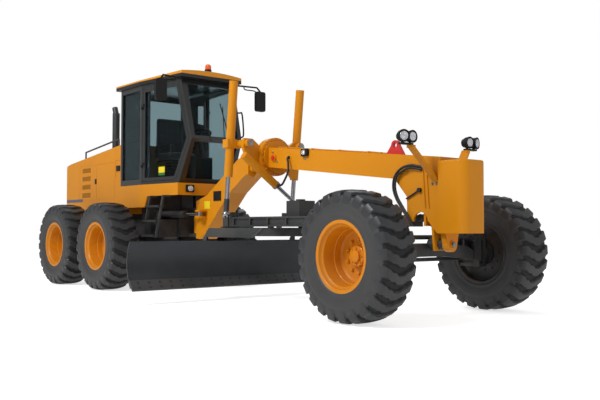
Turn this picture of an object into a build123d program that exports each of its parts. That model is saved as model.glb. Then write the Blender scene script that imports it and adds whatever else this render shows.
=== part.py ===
"""Motor grader: an articulated frame on six wheels, with a blade hung under its long front beam.

Millimetres. X points forward, Y to the driver's left and Z up. The origin is on the ground, midway along
the machine.
"""

import os
from math import atan2, cos, degrees, hypot, pi, radians, sin, sqrt

from build123d import *

os.makedirs("parts", exist_ok=True)

RIGHT, LEFT = -1, 1
SIDES = {"right": RIGHT, "left": LEFT}

# Overall
length = 8970
nose_x = length / 2
tail_x = -length / 2
running_gap = 0.5
moving_gap = 6

# Wheels and axles
wheelbase = 6219
front_axle_x = 3830
tandem_x = front_axle_x - wheelbase
tandem_pitch = 1538
wheel_y = 1078
tyre_r = 660
tyre_width = 445
tread_r = 634
tyre_bars = 22
bar_width = 90
bar_sweep = 75
shoulder_r = 585
shoulder_y = 216
crown_drop = 18
tread_y = 196
bead_r = 345
flange_r = 366
rim_width = 392
flange_t = 14
bead_step = 4
rim_wall = 22
disc_t = 24
disc_inset = 94
hub_inset = 20
boss_r = 105
cap_inset = -8
cap_r = 62
stud_count = 10
stud_ring_r = 168
drum_r = 140
drum_t = 36
drum_face_y = wheel_y - disc_inset - drum_t

# Tandem cases and the axle between them
case_y = (600, 790)
case_height = 340
axle_tube_r = 130
axle_bowl_r = 225
axle_bowl_w = 360
hub_r = 120

# Rear frame
rail_y = (200, 260)
rail_z = (800, 1070)
rail_x = (-4260, -850)
hinge_x = -700
hinge_pin_r = 45
hinge_eye_r = 110
lower_ear_z = (800, 850)
upper_ear_z = (1190, 1240)
tower_x = (-1050, -850)
tower_y = 150
tank_x = (-1340, -900)
tank_y = 590
tank_z = (790, 1060)
hitch_bore_r = 25
hitch_z = (870, 950)
hitch_plate_t = 25
hitch_x = -4370

# Engine hood
hood_y = 550
hood_wall = 10
hood_bottom = 1160
hood_front_x = -2195
hood_rear_x = -4364
bustle_y = (400, 510)
bustle_z = (1616, 2055)
hood_front_top = 2297
recess_depth = 6
louvre_x = (-3684, -3353)
louvre_rows = (1458, 1602, 1746, 1890)
louvre_height = 81
louvre_slits = 8
louvre_slit_w = 22
seam_w = 8
seam_depth = 4
panel_x = (-3800, -2440)
panel_z = (1411, 2010)
handle_x = (-2413, -2237)
handle_z = (1767, 2039)
grille_bars = 11
grille_bar_w = 16
hood_slope = 0.1032
engine_x = (-3700, -2450)
engine_y = 330
engine_top = 1900

# Cab
deck_z = 1597
deck_t = 27
deck_wall = 25
deck_rear_x = -2160
deck_front_x = -488
deck_rear_y = 615
deck_front_y = 520
step_x = (-1322, -1253)
skirt_low_z = 1250
skirt_high_z = 1418
cab_rear_x = -2154
pillar_b_x = -1458
knee = (-240, 2236)
cab_top_z = 3143
cab_front_top_x = -495
cab_front_low_x = -533
cab_rear_y = 590
cab_mid_y = 600
cab_knee_y = 440
cab_wall = 42
glass_t = 6
glass_inset = 16
door_gap = 6
door_frame = 52
roof_x = (-2236, -385)
roof_y = (640, 531)
roof_edge_z = 3215
roof_crown = 51

# Front frame
beam_y = 150
plate_t = 30
hinge_barrel_r = 90
hinge_barrel_z = (856, 1184)
block_x = 4141
block_y = 190
block_z = (885, 1635)
block_round = 110
lug_x = (4100, 4170)
axle_pin_z = 767
axle_pin_r = 60
ball = (3800, 1050)
ball_r = 46
socket_r = 64
fork_y = (70, 86)
fork_x = 3690
cheek_t = 25
saddle_x = (1062, 1184)
saddle_r = 256
saddle_z = 1885

lamp_r = 66
lamp_x = 4000
lamp_z = 1875
lamp_y = (460, 575)
side_lamp = (1975, 1877)
side_lamp_r = 38
boss = (1334, 1852)

# Front axle, lean brackets and steering knuckles
axle_half_x = 60
lean_pin = (745, 622)
lean_pin_r = 24
lean_bar_z = 840
kingpin_y = 840
kingpin_r = 42
steer_arm = 200
tie_rod_z = 590
tie_ball_r = 28

# Drawbar, circle and blade
drawbar_z = (954, 1080)
drawbar_rear_x = 640
drawbar_beam_y = (420, 480)
drawbar_mid_x = 2400
pocket_x = (880, 2370)
pocket_z = (976, 1058)
pocket_depth = 26
pocket_count = 4
rib_t = 24
circle_x = 1111
circle_r = (640, 700)
circle_z = (868, 940)
circle_skirt_z = 832
circle_teeth = 64
tooth_height = 18
pinion_r = 40
gearbox = (1690, 0)
arm_y = (725, 755)
tilt_pin = (690, 400)
tilt_pin_r = 30
carrier_y = (690, 715)
blade_length = 3960
blade_low = (926, 172)
blade_top = (861, 763)
blade_depth = 100
blade_t = 20
edge_t = 20
edge_height = 150

# Cylinders
lift_hinge = (950, 430, 2045)
lift_top = (993, 565, 2866)
lift_low = (855, 542, 1609)
lift_eye = (814, 557, 1115)
lift_barrel_r = 58
lift_rod_r = 30
lift_rod_length = 1330
shift_x = 1245
shift_pivot = (-354, 1713)
shift_eye = (300, 1251)
shift_barrel_r = 52
shift_rod_r = 25
shift_barrel = (-279, 385)
shift_rod_length = 740
turn_pivot = (-1250, 400, 1140)
turn_eye = (-330, 240, 1140)
turn_barrel_r = 55
turn_rod_r = 24
turn_barrel_length = 620
turn_rod_length = 487


def hood_top(x):
    return hood_front_top - hood_slope * (hood_front_x - x)


def beam_top(x):
    return 2035 - (x - 905) * 0.11


def beam_bottom(x):
    return 1775 - (x - 900) * 0.1148


def save(part, node):
    part.label = node
    export_step(part, f"parts/{node}.step")


def mid(span):
    return (span[0] + span[1]) / 2


def block(x, y, z, mode=Mode.ADD):
    """A box between two values along each axis."""
    with Locations((mid(x), mid(y), mid(z))):
        Box(abs(x[1] - x[0]), abs(y[1] - y[0]), abs(z[1] - z[0]), mode=mode)


def rod(start, end, radius, mode=Mode.ADD):
    """A round bar from one point to another."""
    axis = Vector(*end) - Vector(*start)
    with Locations(Plane(origin=start, z_dir=axis)):
        Cylinder(radius, axis.length, align=(Align.CENTER, Align.CENTER, Align.MIN), mode=mode)


def bar(start, end, width, height, mode=Mode.ADD):
    """A square bar from one point to another, its width level."""
    axis = Vector(*end) - Vector(*start)
    level = Vector(0, 0, 1).cross(axis)
    with Locations(Plane(origin=start, x_dir=level, z_dir=axis)):
        Box(width, height, axis.length, align=(Align.CENTER, Align.CENTER, Align.MIN), mode=mode)


def prism(points, plane, depth, both=False, mode=Mode.ADD):
    """A closed outline, drawn on a plane and made solid along its normal."""
    with BuildSketch(plane) as outline:
        with BuildLine():
            Polyline(*points, close=True)
        make_face()
    extrude(outline.sketch, amount=depth, both=both, mode=mode)


def side_prism(points, y, mode=Mode.ADD):
    """An outline in X and Z, made solid between two values of Y."""
    low, high = min(y), max(y)
    prism(points, Plane.XZ.offset(-high), high - low, mode=mode)


def plan_prism(points, z, mode=Mode.ADD):
    """An outline in X and Y, made solid between two heights."""
    prism(points, Plane.XY.offset(z[0]), z[1] - z[0], mode=mode)


def cross_prism(points, x, mode=Mode.ADD):
    """An outline in Y and Z, made solid between two values of X."""
    prism(points, Plane.YZ.offset(x[0]), x[1] - x[0], mode=mode)


def both_sides(points):
    """An outline's near half, given on +Y, closed by its mirror image."""
    return points + [(x, -y) for x, y in reversed(points)]


# Wheels

def polygon_ring(side, sections):
    """Flat-sided sections of a wheel at x = 0, each an inset and a radius to the flats, with a flat at the bottom."""
    sketches = []
    for inset, radius in sections:
        across = Plane(origin=(0, side * (wheel_y - inset), tyre_r), x_dir=(1, 0, 0), z_dir=(0, side, 0))
        with BuildSketch(across) as section:
            RegularPolygon(radius, tyre_bars, major_radius=False, rotation=90 + 180 / tyre_bars)
        sketches.append(section.sketch)
    return sketches


def tyre_blank(side):
    """A tyre at x = 0: a flat-sided carcass with one swept traction bar on each flat."""
    bead = rim_width / 2 - flange_t - bead_step
    carcass = [(bead, bead_r), (shoulder_y, shoulder_r), (tread_y, tread_r)]
    carcass += [(-inset, radius) for inset, radius in reversed(carcass)]
    bar_end = shoulder_y - 4
    trail, lead = -(bar_width + bar_sweep) / 2, (bar_width + bar_sweep) / 2
    bar_outline = [(trail, -bar_end), (trail + bar_width, -bar_end), (lead, 0), (trail + bar_width, bar_end),
                   (trail, bar_end), (lead - bar_width, 0)]
    with BuildPart() as traction_bar:
        prism(bar_outline, Plane((0, side * wheel_y, 2 * tyre_r)), shoulder_r - tyre_r - 10)
        crown, edge_y = 2 * tyre_r, bar_end + 5
        top = [(side * wheel_y - edge_y, crown - crown_drop), (side * wheel_y, crown),
               (side * wheel_y + edge_y, crown - crown_drop)]
        base = [(side * wheel_y + edge_y, tyre_r), (side * wheel_y - edge_y, tyre_r)]
        cross_prism(top + base, (trail - 1, lead + 1), mode=Mode.INTERSECT)
    axle = Axis((0, side * wheel_y, tyre_r), (0, 1, 0))
    with BuildPart() as tyre:
        loft(polygon_ring(side, carcass), ruled=True)
        loft(polygon_ring(side, [(shoulder_y, bead_r), (-shoulder_y, bead_r)]), ruled=True, mode=Mode.SUBTRACT)
        for step in range(tyre_bars):
            add(traction_bar.part.rotate(axle, 360 * step / tyre_bars))
    return tyre.part


def rim_blank(side):
    """A rim at x = 0 with its flanges, dish, disc, hub and brake drum."""
    half = rim_width / 2
    inner = bead_r - rim_wall
    disc_face = disc_inset - disc_t
    with BuildPart() as rim:
        loft(polygon_ring(side, [(half, bead_r), (-half, bead_r)]), ruled=True)
        for face in (half, flange_t - half):
            loft(polygon_ring(side, [(face, flange_r), (face - flange_t, flange_r)]), ruled=True)
        # Inset and radius of the dish, from the outer lip to the disc
        dish = [(-half, inner), (20 - half, inner - 6), (45 - half, inner - 28), (disc_face, inner - 62)]
        loft(polygon_ring(side, dish), ruled=True, mode=Mode.SUBTRACT)
        loft(polygon_ring(side, [(half, inner), (disc_inset, inner)]), ruled=True, mode=Mode.SUBTRACT)
        rod((0, side * (wheel_y - disc_inset), tyre_r), (0, side * drum_face_y, tyre_r), drum_r)
        rod((0, side * (wheel_y - disc_inset), tyre_r), (0, side * (wheel_y - hub_inset), tyre_r), boss_r)
        rod((0, side * (wheel_y - disc_inset), tyre_r), (0, side * (wheel_y - cap_inset), tyre_r), cap_r)
        # Wheel nuts in a ring on the disc
        for turn in range(stud_count):
            angle = 2 * pi * turn / stud_count
            x, z = stud_ring_r * cos(angle), tyre_r + stud_ring_r * sin(angle)
            rod((x, side * (wheel_y - disc_inset), z), (x, side * (wheel_y - disc_face + 24), z), 15)
    return rim.part


def make_wheels():
    # Name, X of the axle
    rows = [
        ("front", front_axle_x),
        ("middle", tandem_x + tandem_pitch / 2),
        ("rear", tandem_x - tandem_pitch / 2),
    ]
    for name, side in SIDES.items():
        tyre, rim = tyre_blank(side), rim_blank(side)
        for row, x in rows:
            save(Pos(x, 0, 0) * tyre, f"tyre_{row}_{name}")
            save(Pos(x, 0, 0) * rim, f"rim_{row}_{name}")


# Rear frame

def make_tandem_axle():
    with BuildPart() as axle:
        with BuildSketch(Plane.XZ.offset(-case_y[1])) as case:
            with Locations((tandem_x, tyre_r)):
                SlotCenterToCenter(tandem_pitch, case_height)
        extrude(case.sketch, amount=case_y[1] - case_y[0])
        for x in (tandem_x - tandem_pitch / 2, tandem_x + tandem_pitch / 2):
            rod((x, case_y[1], tyre_r), (x, drum_face_y - running_gap, tyre_r), hub_r)
        rod((tandem_x, 0, tyre_r), (tandem_x, case_y[0], tyre_r), axle_tube_r)
        block((tandem_x - 120, tandem_x + 120), (rail_y[0] - 10, rail_y[1] + 10), (tyre_r, rail_z[0]))
        mirror(about=Plane.XZ)
        rod((tandem_x, -axle_bowl_w / 2, tyre_r), (tandem_x, axle_bowl_w / 2, tyre_r), axle_bowl_r)
    save(axle.part, "tandem_axle")


def make_rear_frame():
    pivot_x, pivot_y, pivot_z = turn_pivot
    floor = deck_z - deck_t
    with BuildPart() as frame:
        block(rail_x, rail_y, rail_z)
        # Cab posts on the rails
        for x in (-2050, -1450):
            block((x, x + 100), rail_y, (rail_z[1], floor))
        block((tower_x[0], tower_x[0] + 80), (90, tower_y), (upper_ear_z[1], floor))
        # Tank beside the hinge and the bulkhead under the cab
        block(tank_x, (rail_y[1], tank_y), tank_z)
        block((tank_x[0], tank_x[0] + 30), (0, tank_y - 60), (tank_z[1] - 20, floor - 40))
        # Feet that carry the hood
        for x in (-4080, -2400):
            block((x, x + 60), (rail_y[0], hood_y - hood_wall), (rail_z[1] - 30, rail_z[1]))
            block((x, x + 60), (hood_y - hood_wall - 20, hood_y - hood_wall), (rail_z[1] - 30, hood_bottom + 70))
        # Clevis for the articulation cylinder
        block((pivot_x - 50, pivot_x + 50), (rail_y[0], pivot_y + 45), (rail_z[1], rail_z[1] + 30))
        block((pivot_x - 50, pivot_x + 50), (rail_y[0], pivot_y + 45), (1180, 1205))
        block((pivot_x - 50, pivot_x + 30), rail_y, (rail_z[1], 1205))
        rod((pivot_x, pivot_y, rail_z[1]), (pivot_x, pivot_y, 1205), 20)
        mirror(about=Plane.XZ)
        inner = (-rail_y[0], rail_y[0])
        block((rail_x[0], rail_x[0] + 60), inner, rail_z)
        block((-3250, -3130), inner, rail_z)
        block(tower_x, inner, rail_z)
        block(tower_x, (-tower_y, tower_y), (rail_z[1], upper_ear_z[1]))
        # Hinge ears and their pin
        for z in (lower_ear_z, upper_ear_z):
            block((tower_x[0], hinge_x), (-hinge_eye_r, hinge_eye_r), z)
            rod((hinge_x, 0, z[0]), (hinge_x, 0, z[1]), hinge_eye_r)
        rod((hinge_x, 0, lower_ear_z[0] - 12), (hinge_x, 0, upper_ear_z[1] + 12), hinge_pin_r)
        # Tow hitch: two plates with a bore through both
        for z in (hitch_z[0], hitch_z[1]):
            block((hitch_x, rail_x[0]), (-70, 70), (z, z + hitch_plate_t))
            rod((hitch_x, 0, z), (hitch_x, 0, z + hitch_plate_t), 70)
        rod((hitch_x, 0, hitch_z[0]), (hitch_x, 0, hitch_z[1] + hitch_plate_t), hitch_bore_r, mode=Mode.SUBTRACT)
    save(frame.part, "rear_frame")


def hood_outline(inset):
    low = 50 if inset else 0
    return [
        (hood_front_x - inset, hood_bottom - low),
        (hood_front_x - inset, hood_top(hood_front_x) - inset),
        (-4230 + inset, hood_top(-4230) - inset),
        (hood_rear_x + inset, 2060 - inset),
        (hood_rear_x + inset, 1353 - low),
        (-4150, hood_bottom - low),
    ]


def cut_hood_side(side):
    """Louvres, door seams and the handle's recess in one side of the hood."""
    face = (side * hood_y, side * (hood_y - recess_depth))
    pitch = (louvre_x[1] - louvre_x[0]) / louvre_slits
    for low in louvre_rows:
        for place in range(louvre_slits):
            x = louvre_x[0] + place * pitch
            block((x, x + louvre_slit_w), face, (low, low + louvre_height), mode=Mode.SUBTRACT)
    block(handle_x, face, handle_z, mode=Mode.SUBTRACT)
    groove = (side * hood_y, side * (hood_y - seam_depth))
    for x in (*panel_x, mid(panel_x)):
        block((x - seam_w / 2, x + seam_w / 2), groove, panel_z, mode=Mode.SUBTRACT)
    for z in panel_z:
        block(panel_x, groove, (z - seam_w / 2, z + seam_w / 2), mode=Mode.SUBTRACT)


def make_hood():
    with BuildPart() as hood:
        prism(hood_outline(0), Plane.XZ, hood_y, both=True)
        top_edges = hood.edges().filter_by(lambda e: abs(abs(e.center().Y) - hood_y) < 1 and e.center().Z > 2060)
        fillet(top_edges, 2.6 * hood_wall)
        prism(hood_outline(hood_wall), Plane.XZ, hood_y - hood_wall, both=True, mode=Mode.SUBTRACT)
        # The radiator's housing behind the hood, with a shallow grille opening
        with BuildSketch(Plane.YZ.offset(hood_rear_x + hood_wall / 2)) as wide:
            with Locations((0, mid(bustle_z))):
                Rectangle(2 * bustle_y[1], bustle_z[1] - bustle_z[0])
        with BuildSketch(Plane.YZ.offset(tail_x)) as narrow:
            with Locations((0, mid(bustle_z) - 8)):
                Rectangle(2 * bustle_y[0], bustle_z[1] - bustle_z[0] - 50)
        loft([narrow.sketch, wide.sketch], ruled=True)
        grille_y, grille_z = bustle_y[0] - 60, (bustle_z[0] + 70, bustle_z[1] - 80)
        block((tail_x, tail_x + 40), (-grille_y, grille_y), grille_z, mode=Mode.SUBTRACT)
        gap = 2 * grille_y / grille_bars
        for place in range(1, grille_bars):
            y = place * gap - grille_y
            block((tail_x + 8, tail_x + 40), (y - grille_bar_w / 2, y + grille_bar_w / 2), grille_z)
        for side in SIDES.values():
            cut_hood_side(side)
    save(hood.part, "engine_hood")
    with BuildPart() as engine:
        block(engine_x, (-engine_y, engine_y), (rail_z[1], engine_top))
    save(engine.part, "engine")


def make_exhaust():
    x, y = -2955, -280
    with BuildPart() as exhaust:
        rod((x, y, 2195), (x, y, 2900), 62)
        rod((x, y, 2880), (x - 50, y, 3000), 48)
        under = [(x - 100, 2000), (x + 100, 2000), (x + 100, hood_top(x + 100)), (x - 100, hood_top(x - 100))]
        side_prism(under, (y - 100, y + 100), mode=Mode.SUBTRACT)
    save(exhaust.part, "exhaust")


# Cab

def deck_outline(inset):
    return both_sides([(deck_rear_x + inset, deck_rear_y - inset), (pillar_b_x, deck_rear_y + 8 - inset),
                       (deck_front_x - inset, deck_front_y - inset)])


def make_deck():
    with BuildPart() as deck:
        plan_prism(deck_outline(0), (skirt_low_z, deck_z))
        plan_prism(deck_outline(deck_wall), (skirt_low_z, deck_z - deck_t), mode=Mode.SUBTRACT)
        notch = [(step_x[0], skirt_low_z - 1), (step_x[1], skirt_high_z), (0, skirt_high_z), (0, skirt_low_z - 1)]
        side_prism(notch, (-deck_rear_y - 50, deck_rear_y + 50), mode=Mode.SUBTRACT)
        for side in SIDES.values():
            rod((deck_front_x, side * 321, 1515), (deck_front_x + 32, side * 321, 1515), side_lamp_r)
    save(deck.part, "cab_deck")


def cab_plan(inset):
    return both_sides([(cab_rear_x + inset, cab_rear_y - inset), (pillar_b_x, cab_mid_y - inset),
                       (knee[0], cab_knee_y - inset)])


def cab_side(inset, floor):
    return [(cab_rear_x + inset, floor), (cab_rear_x + inset, cab_top_z - inset), (cab_front_top_x - inset, cab_top_z - inset),
            (knee[0] - inset, knee[1]), (cab_front_low_x - inset, floor)]


def cab_solid(inset, floor):
    """The cab's outer form, moved in by a wall's thickness."""
    with BuildPart() as solid:
        plan_prism(cab_plan(inset), (floor, cab_top_z))
        prism(cab_side(inset, floor), Plane.XZ, cab_mid_y, both=True, mode=Mode.INTERSECT)
    return solid.part


door_opening = [(pillar_b_x + 38, deck_z + 45), (pillar_b_x + 38, cab_top_z - 62), (cab_front_top_x - 62, cab_top_z - 62),
                (knee[0] - 62, knee[1]), (cab_front_low_x - 75, deck_z + 45)]
quarter_opening = [(cab_rear_x + 60, deck_z + 90), (cab_rear_x + 60, cab_top_z - 75), (pillar_b_x - 40, cab_top_z - 75),
                   (pillar_b_x - 40, deck_z + 90)]


def cab_shell(outer, inner):
    """The space between two cab forms."""
    with BuildPart() as shell:
        add(cab_solid(outer, deck_z))
        add(cab_solid(inner, deck_z - 10), mode=Mode.SUBTRACT)
    return shell.part


def side_void(points, grow):
    """A side opening through both walls; grow widens it, or narrows it when negative."""
    with BuildPart() as void:
        with BuildSketch(Plane.XZ) as opening:
            with BuildLine():
                Polyline(*points, close=True)
            make_face()
            if grow:
                offset(amount=grow)
        extrude(opening.sketch, amount=cab_mid_y + 60, both=True)
        block((-3000, 0), (-cab_knee_y + 120, cab_knee_y - 120), (0, 4000), mode=Mode.SUBTRACT)
    return void.part


def end_voids():
    """The windscreen, the lower front window and the rear window."""
    screen_y = cab_knee_y - 62
    with BuildPart() as void:
        block((-760, 0), (-screen_y, screen_y), (knee[1] + 45, cab_top_z - 90))
        block((-760, 0), (-screen_y, screen_y), (deck_z + 70, knee[1] - 45))
        block((cab_rear_x - 50, cab_rear_x + 150), (70 - cab_rear_y, cab_rear_y - 70), (deck_z + 160, cab_top_z - 110))
    return void.part


def make_cab():
    door_hole = side_void(door_opening, 0)
    quarter_hole = side_void(quarter_opening, 0)
    ends = end_voids()
    door_solid = side_void(door_opening, -door_gap)
    door_hole_glass = side_void(door_opening, -door_gap - door_frame)
    hinge_y = cab_mid_y + 14
    hinge_line_x = pillar_b_x + 30
    with BuildPart() as frame:
        add(cab_shell(0, cab_wall))
        for hole in (door_hole, quarter_hole, ends):
            add(hole, mode=Mode.SUBTRACT)
        for side in SIDES.values():
            for z in (1900, 2800):
                rod((hinge_line_x, side * hinge_y, z - 40), (hinge_line_x, side * hinge_y, z), 14)
                block((hinge_line_x - 40, hinge_line_x), (side * (hinge_y - 24), side * (hinge_y + 4)), (z - 40, z))
    save(frame.part, "cab_frame")
    with BuildPart() as panes:
        add(cab_shell(glass_inset, glass_inset + glass_t))
        with BuildPart(mode=Mode.PRIVATE) as holes:
            add(quarter_hole)
            add(ends)
        add(holes.part, mode=Mode.INTERSECT)
    save(panes.part, "cab_glass")
    for name, side in SIDES.items():
        half = (side * 200, side * 700)
        with BuildPart() as door:
            add(cab_shell(0, cab_wall))
            add(door_solid, mode=Mode.INTERSECT)
            add(door_hole_glass, mode=Mode.SUBTRACT)
            block((-3000, 1000), half, (1000, 4000), mode=Mode.INTERSECT)
            for z in (1900, 2800):
                rod((hinge_line_x, side * hinge_y, z + running_gap), (hinge_line_x, side * hinge_y, z + 40), 14)
                leaf_z = (z + running_gap, z + 40)
                block((hinge_line_x, hinge_line_x + 45), (side * (hinge_y - 14), side * (hinge_y + 4)), leaf_z)
                block((hinge_line_x + 18, hinge_line_x + 45), (side * (hinge_y - 34), side * (hinge_y + 4)), leaf_z)
        save(door.part, f"door_{name}")
        with BuildPart() as pane:
            add(cab_shell(glass_inset, glass_inset + glass_t))
            add(door_hole_glass, mode=Mode.INTERSECT)
            block((-3000, 1000), half, (1000, 4000), mode=Mode.INTERSECT)
        save(pane.part, f"door_glass_{name}")


def make_roof():
    crown_r = (roof_y[0] ** 2 + roof_crown**2) / (2 * roof_crown)
    with BuildPart() as roof:
        outline = both_sides([(roof_x[0], roof_y[0]), (pillar_b_x, roof_y[0]), (roof_x[1], roof_y[1])])
        plan_prism(outline, (cab_top_z, roof_edge_z + roof_crown + 20))
        with BuildSketch(Plane.YZ.offset(roof_x[0])) as crown:
            with Locations((0, roof_edge_z + roof_crown - crown_r)):
                Circle(crown_r)
        extrude(crown.sketch, amount=roof_x[1] - roof_x[0], mode=Mode.INTERSECT)
    save(roof.part, "cab_roof")


def make_cab_fittings():
    with BuildPart() as beacon:
        base = roof_edge_z + roof_crown + 0.3
        rod((-500, 0, base), (-500, 0, base + 30), 45)
        rod((-500, 0, base + 30), (-500, 0, base + 134), 52)
    save(beacon.part, "beacon")
    with BuildPart() as seat:
        block((-1640, -1200), (-240, 240), (1990, 2110))
        block((-1700, -1580), (-230, 230), (2110, 2700))
        fillet(seat.edges().filter_by(Axis.Y).group_by(Axis.Z)[-1], 40)
        fillet(seat.edges().filter_by(Axis.Y).group_by(Axis.X)[-1], 40)
        block((-1560, -1300), (-180, 180), (deck_z, 1990))
        for y in (-285, 225):
            block((-1600, -1250), (y, y + 60), (2180, 2240))
    save(seat.part, "seat")
    with BuildPart() as console:
        block((-740, -600), (-150, 150), (deck_z, 2000))
        rod((-640, 0, 1990), (-765, 0, 2355), 40)
        with Locations(Plane(origin=(-764, 0, 2352), z_dir=(-120, 0, 350))):
            Torus(190, 16)
            Box(370, 30, 14)
    save(console.part, "steering_console")
    with BuildPart() as mirrors:
        arm_z = cab_top_z - 20
        rod((-440, 500, arm_z), (-440, 500, cab_top_z), 16)
        rod((-440, 500, arm_z), (-390, 830, arm_z), 13)
        with Locations((-390, 830, arm_z)):
            Sphere(13)
        rod((-390, 830, arm_z), (-372, 880, arm_z - 60), 13)
        with Locations((-372, 880, arm_z - 60)):
            Sphere(13)
        rod((-372, 880, arm_z - 60), (-372, 880, 2960), 13)
        with BuildSketch(Plane.YZ.offset(-400)) as head:
            with Locations((880, 2905)):
                RectangleRounded(176, 310, 34)
        extrude(head.sketch, amount=55)
        mirror(about=Plane.XZ)
    save(mirrors.part, "mirrors")


def make_ladders():
    with BuildPart() as ladders:
        for x in (-1090, -700):
            bar((x, 640, 1400), (x, 760, 800), 40, 26)
            block((x - 20, x + 20), (520, 652), (1390, skirt_high_z))
        for z in (1240, 1023, 806):
            y = 640 + (1400 - z) * 0.2
            block((-1090, -700), (y - 60, y + 55), (z, z + 28))
        for x in (-3712, -2440):
            rod((x, 480, hood_top(x) + 1.8), (x, 480, hood_top(x) + 128), 14)
        rod((-3712, 480, hood_top(-3712) + 128), (-2440, 480, hood_top(-2440) + 128), 14)
        mirror(about=Plane.XZ)
    save(ladders.part, "ladders_and_rails")


# Front frame

def make_front_frame():
    spine = [
        (-573, 777), (-573, 1333), (-292, 1410), (485, 1880), (905, 2035), (block_x, beam_top(block_x)),
        (block_x, 1400), (3560, 1400), (3486, beam_bottom(3486)), (900, 1775), (625, 1633), (302, 1433), (-341, 850), (-480, 770),
    ]
    cheek = [(3560, 1400), (3670, 1276), (3675, 1084), (3700, 1010), (3972, 1010), (4092, 884), (block_x, 884), (block_x, 1400)]
    eye_x, eye_y, eye_z = turn_eye
    with BuildPart() as frame:
        prism(spine, Plane.XZ, beam_y, both=True)
        side_prism(cheek, (beam_y - cheek_t, beam_y))
        side_prism(cheek, (cheek_t - beam_y, -beam_y))
        rod((3865, -beam_y, 1008), (3865, beam_y, 1008), 100, mode=Mode.SUBTRACT)
        # Bulkheads between the cheeks: one holds the ball, the other the axle's pin
        inner = (cheek_t - beam_y, beam_y - cheek_t)
        block((3890, 3920), inner, (960, 1400))
        cross_prism([(-120, 1400), (120, 1400), (120, 1000), (90, 700), (-90, 700), (-120, 1000)], (3985, 4015))
        rod((3980, 0, axle_pin_z), (4020, 0, axle_pin_z), axle_pin_r + running_gap, mode=Mode.SUBTRACT)
        rod((ball[0], 0, ball[1]), (3890, 0, ball[1]), 26)
        with Locations((ball[0], 0, ball[1])):
            Sphere(ball_r)
        # Rear hinge barrel
        rod((hinge_x, 0, hinge_barrel_z[0]), (hinge_x, 0, hinge_barrel_z[1]), hinge_barrel_r)
        block((hinge_x, -573), (-70, 70), (870, 1170))
        rod((hinge_x, 0, 800), (hinge_x, 0, 1300), hinge_pin_r + running_gap, mode=Mode.SUBTRACT)
        # Ears for the articulation cylinders' rods
        for y in (-beam_y - 135, beam_y):
            for z in (eye_z - 55, eye_z + 35):
                block((eye_x - 60, eye_x + 60), (y, y + 135), (z, z + 20))
        # Arms that carry the headlamps
        for side in SIDES.values():
            bar((4080, side * 140, 1425), (lamp_x, side * (lamp_y[0] - 20), 1775), 90, 30)
            block((lamp_x - 40, lamp_x + 40), (side * (lamp_y[0] - 45), side * (lamp_y[0] + 5)), (1762, 1790))
            # Capped boss on the beam's side
            rod((boss[0], side * beam_y, boss[1]), (boss[0], side * (beam_y + 22), boss[1]), 46)
            rod((boss[0], side * beam_y, boss[1]), (boss[0], side * (beam_y + 30), boss[1]), 34)
    save(frame.part, "front_frame")


def make_front_block():
    with BuildPart() as body:
        with BuildSketch(Plane.XY.offset(block_z[0])) as plan:
            with Locations((mid((block_x, nose_x)), 0)):
                Rectangle(nose_x - block_x, 2 * block_y)
        extrude(plan.sketch, amount=block_z[1] - block_z[0])
        fillet(body.edges().filter_by(Axis.Z).group_by(Axis.X)[-1], block_round)
        fillet(body.faces().sort_by(Axis.Z)[-1].edges(), 20)
        # Lug that holds the front end of the axle's pin
        cross_prism([(-105, block_z[0]), (105, block_z[0]), (75, axle_pin_z), (-75, axle_pin_z)], lug_x)
        rod((lug_x[0], 0, axle_pin_z), (lug_x[1], 0, axle_pin_z), 78)
        rod((lug_x[1], 0, axle_pin_z), (lug_x[1] + 16, 0, axle_pin_z), 38)
    save(body.part, "front_block")


def make_saddle():
    x = saddle_x
    with BuildPart() as saddle:
        rod((x[0], 0, saddle_z), (x[1], 0, saddle_z), saddle_r)
        rod((x[1], 0, saddle_z), (x[1] + 24, 0, saddle_z), saddle_r - 40)
        arm = [(150, 1960), (350, 2110), (480, 2110), (500, 2000), (420, 1800), (420, 1640), (330, 1600), (200, 1760)]
        cross_prism(arm, (x[0] + 10, x[0] + 60))
        rod((lift_hinge[0] + 20, lift_hinge[1], lift_hinge[2]), (x[1], lift_hinge[1], lift_hinge[2]), 55)
        mirror(about=Plane.XZ)
        # The beam and its top and bottom plates run through the drum
        ends = (x[0] - 50, x[1] + 50)
        spine = [(ends[0], beam_bottom(ends[0])), (ends[0], beam_top(ends[0])), (ends[1], beam_top(ends[1])),
                 (ends[1], beam_bottom(ends[1]))]
        side_prism(spine, (-beam_y, beam_y), mode=Mode.SUBTRACT)
        # Lug for the side-shift cylinder
        y, z = shift_pivot
        rod((x[0] + 10, y, z), (shift_x - shift_barrel_r - 12, y, z), 40)
    save(saddle.part, "saddle")


def make_lamps():
    with BuildPart() as lamps:
        # Y of the lamp, turn to the side
        for y, turn in ((lamp_y[0], 0), (lamp_y[1], 18)):
            lamp_plane = Plane(origin=(lamp_x, y, lamp_z), x_dir=(0, 0, 1), z_dir=(cos(radians(turn)), sin(radians(turn)), 0))
            with BuildSketch(Plane(origin=lamp_plane.origin, x_dir=lamp_plane.z_dir, z_dir=lamp_plane.y_dir)) as bowl:
                with BuildLine():
                    Polyline((-60, 0), (-60, 26), (-44, 46), (0, lamp_r - 4), (34, lamp_r - 4), (34, lamp_r), (48, lamp_r),
                             (48, lamp_r - 9), (40, lamp_r - 9), (40, 0), close=True)
                make_face()
            revolve(bowl.sketch, axis=Axis(lamp_plane.origin, lamp_plane.z_dir))
            rod((lamp_x, y, 1808), (lamp_x, y, lamp_z - 40), 12)
        block((lamp_x - 25, lamp_x + 25), (lamp_y[0] - 30, lamp_y[1] + 30), (1790, 1810))
        # Work lamp on the beam's side
        rod((side_lamp[0], beam_y, side_lamp[1]), (side_lamp[0], beam_y + 42, side_lamp[1]), side_lamp_r)
        mirror(about=Plane.XZ)
    save(lamps.part, "headlamps")


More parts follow.
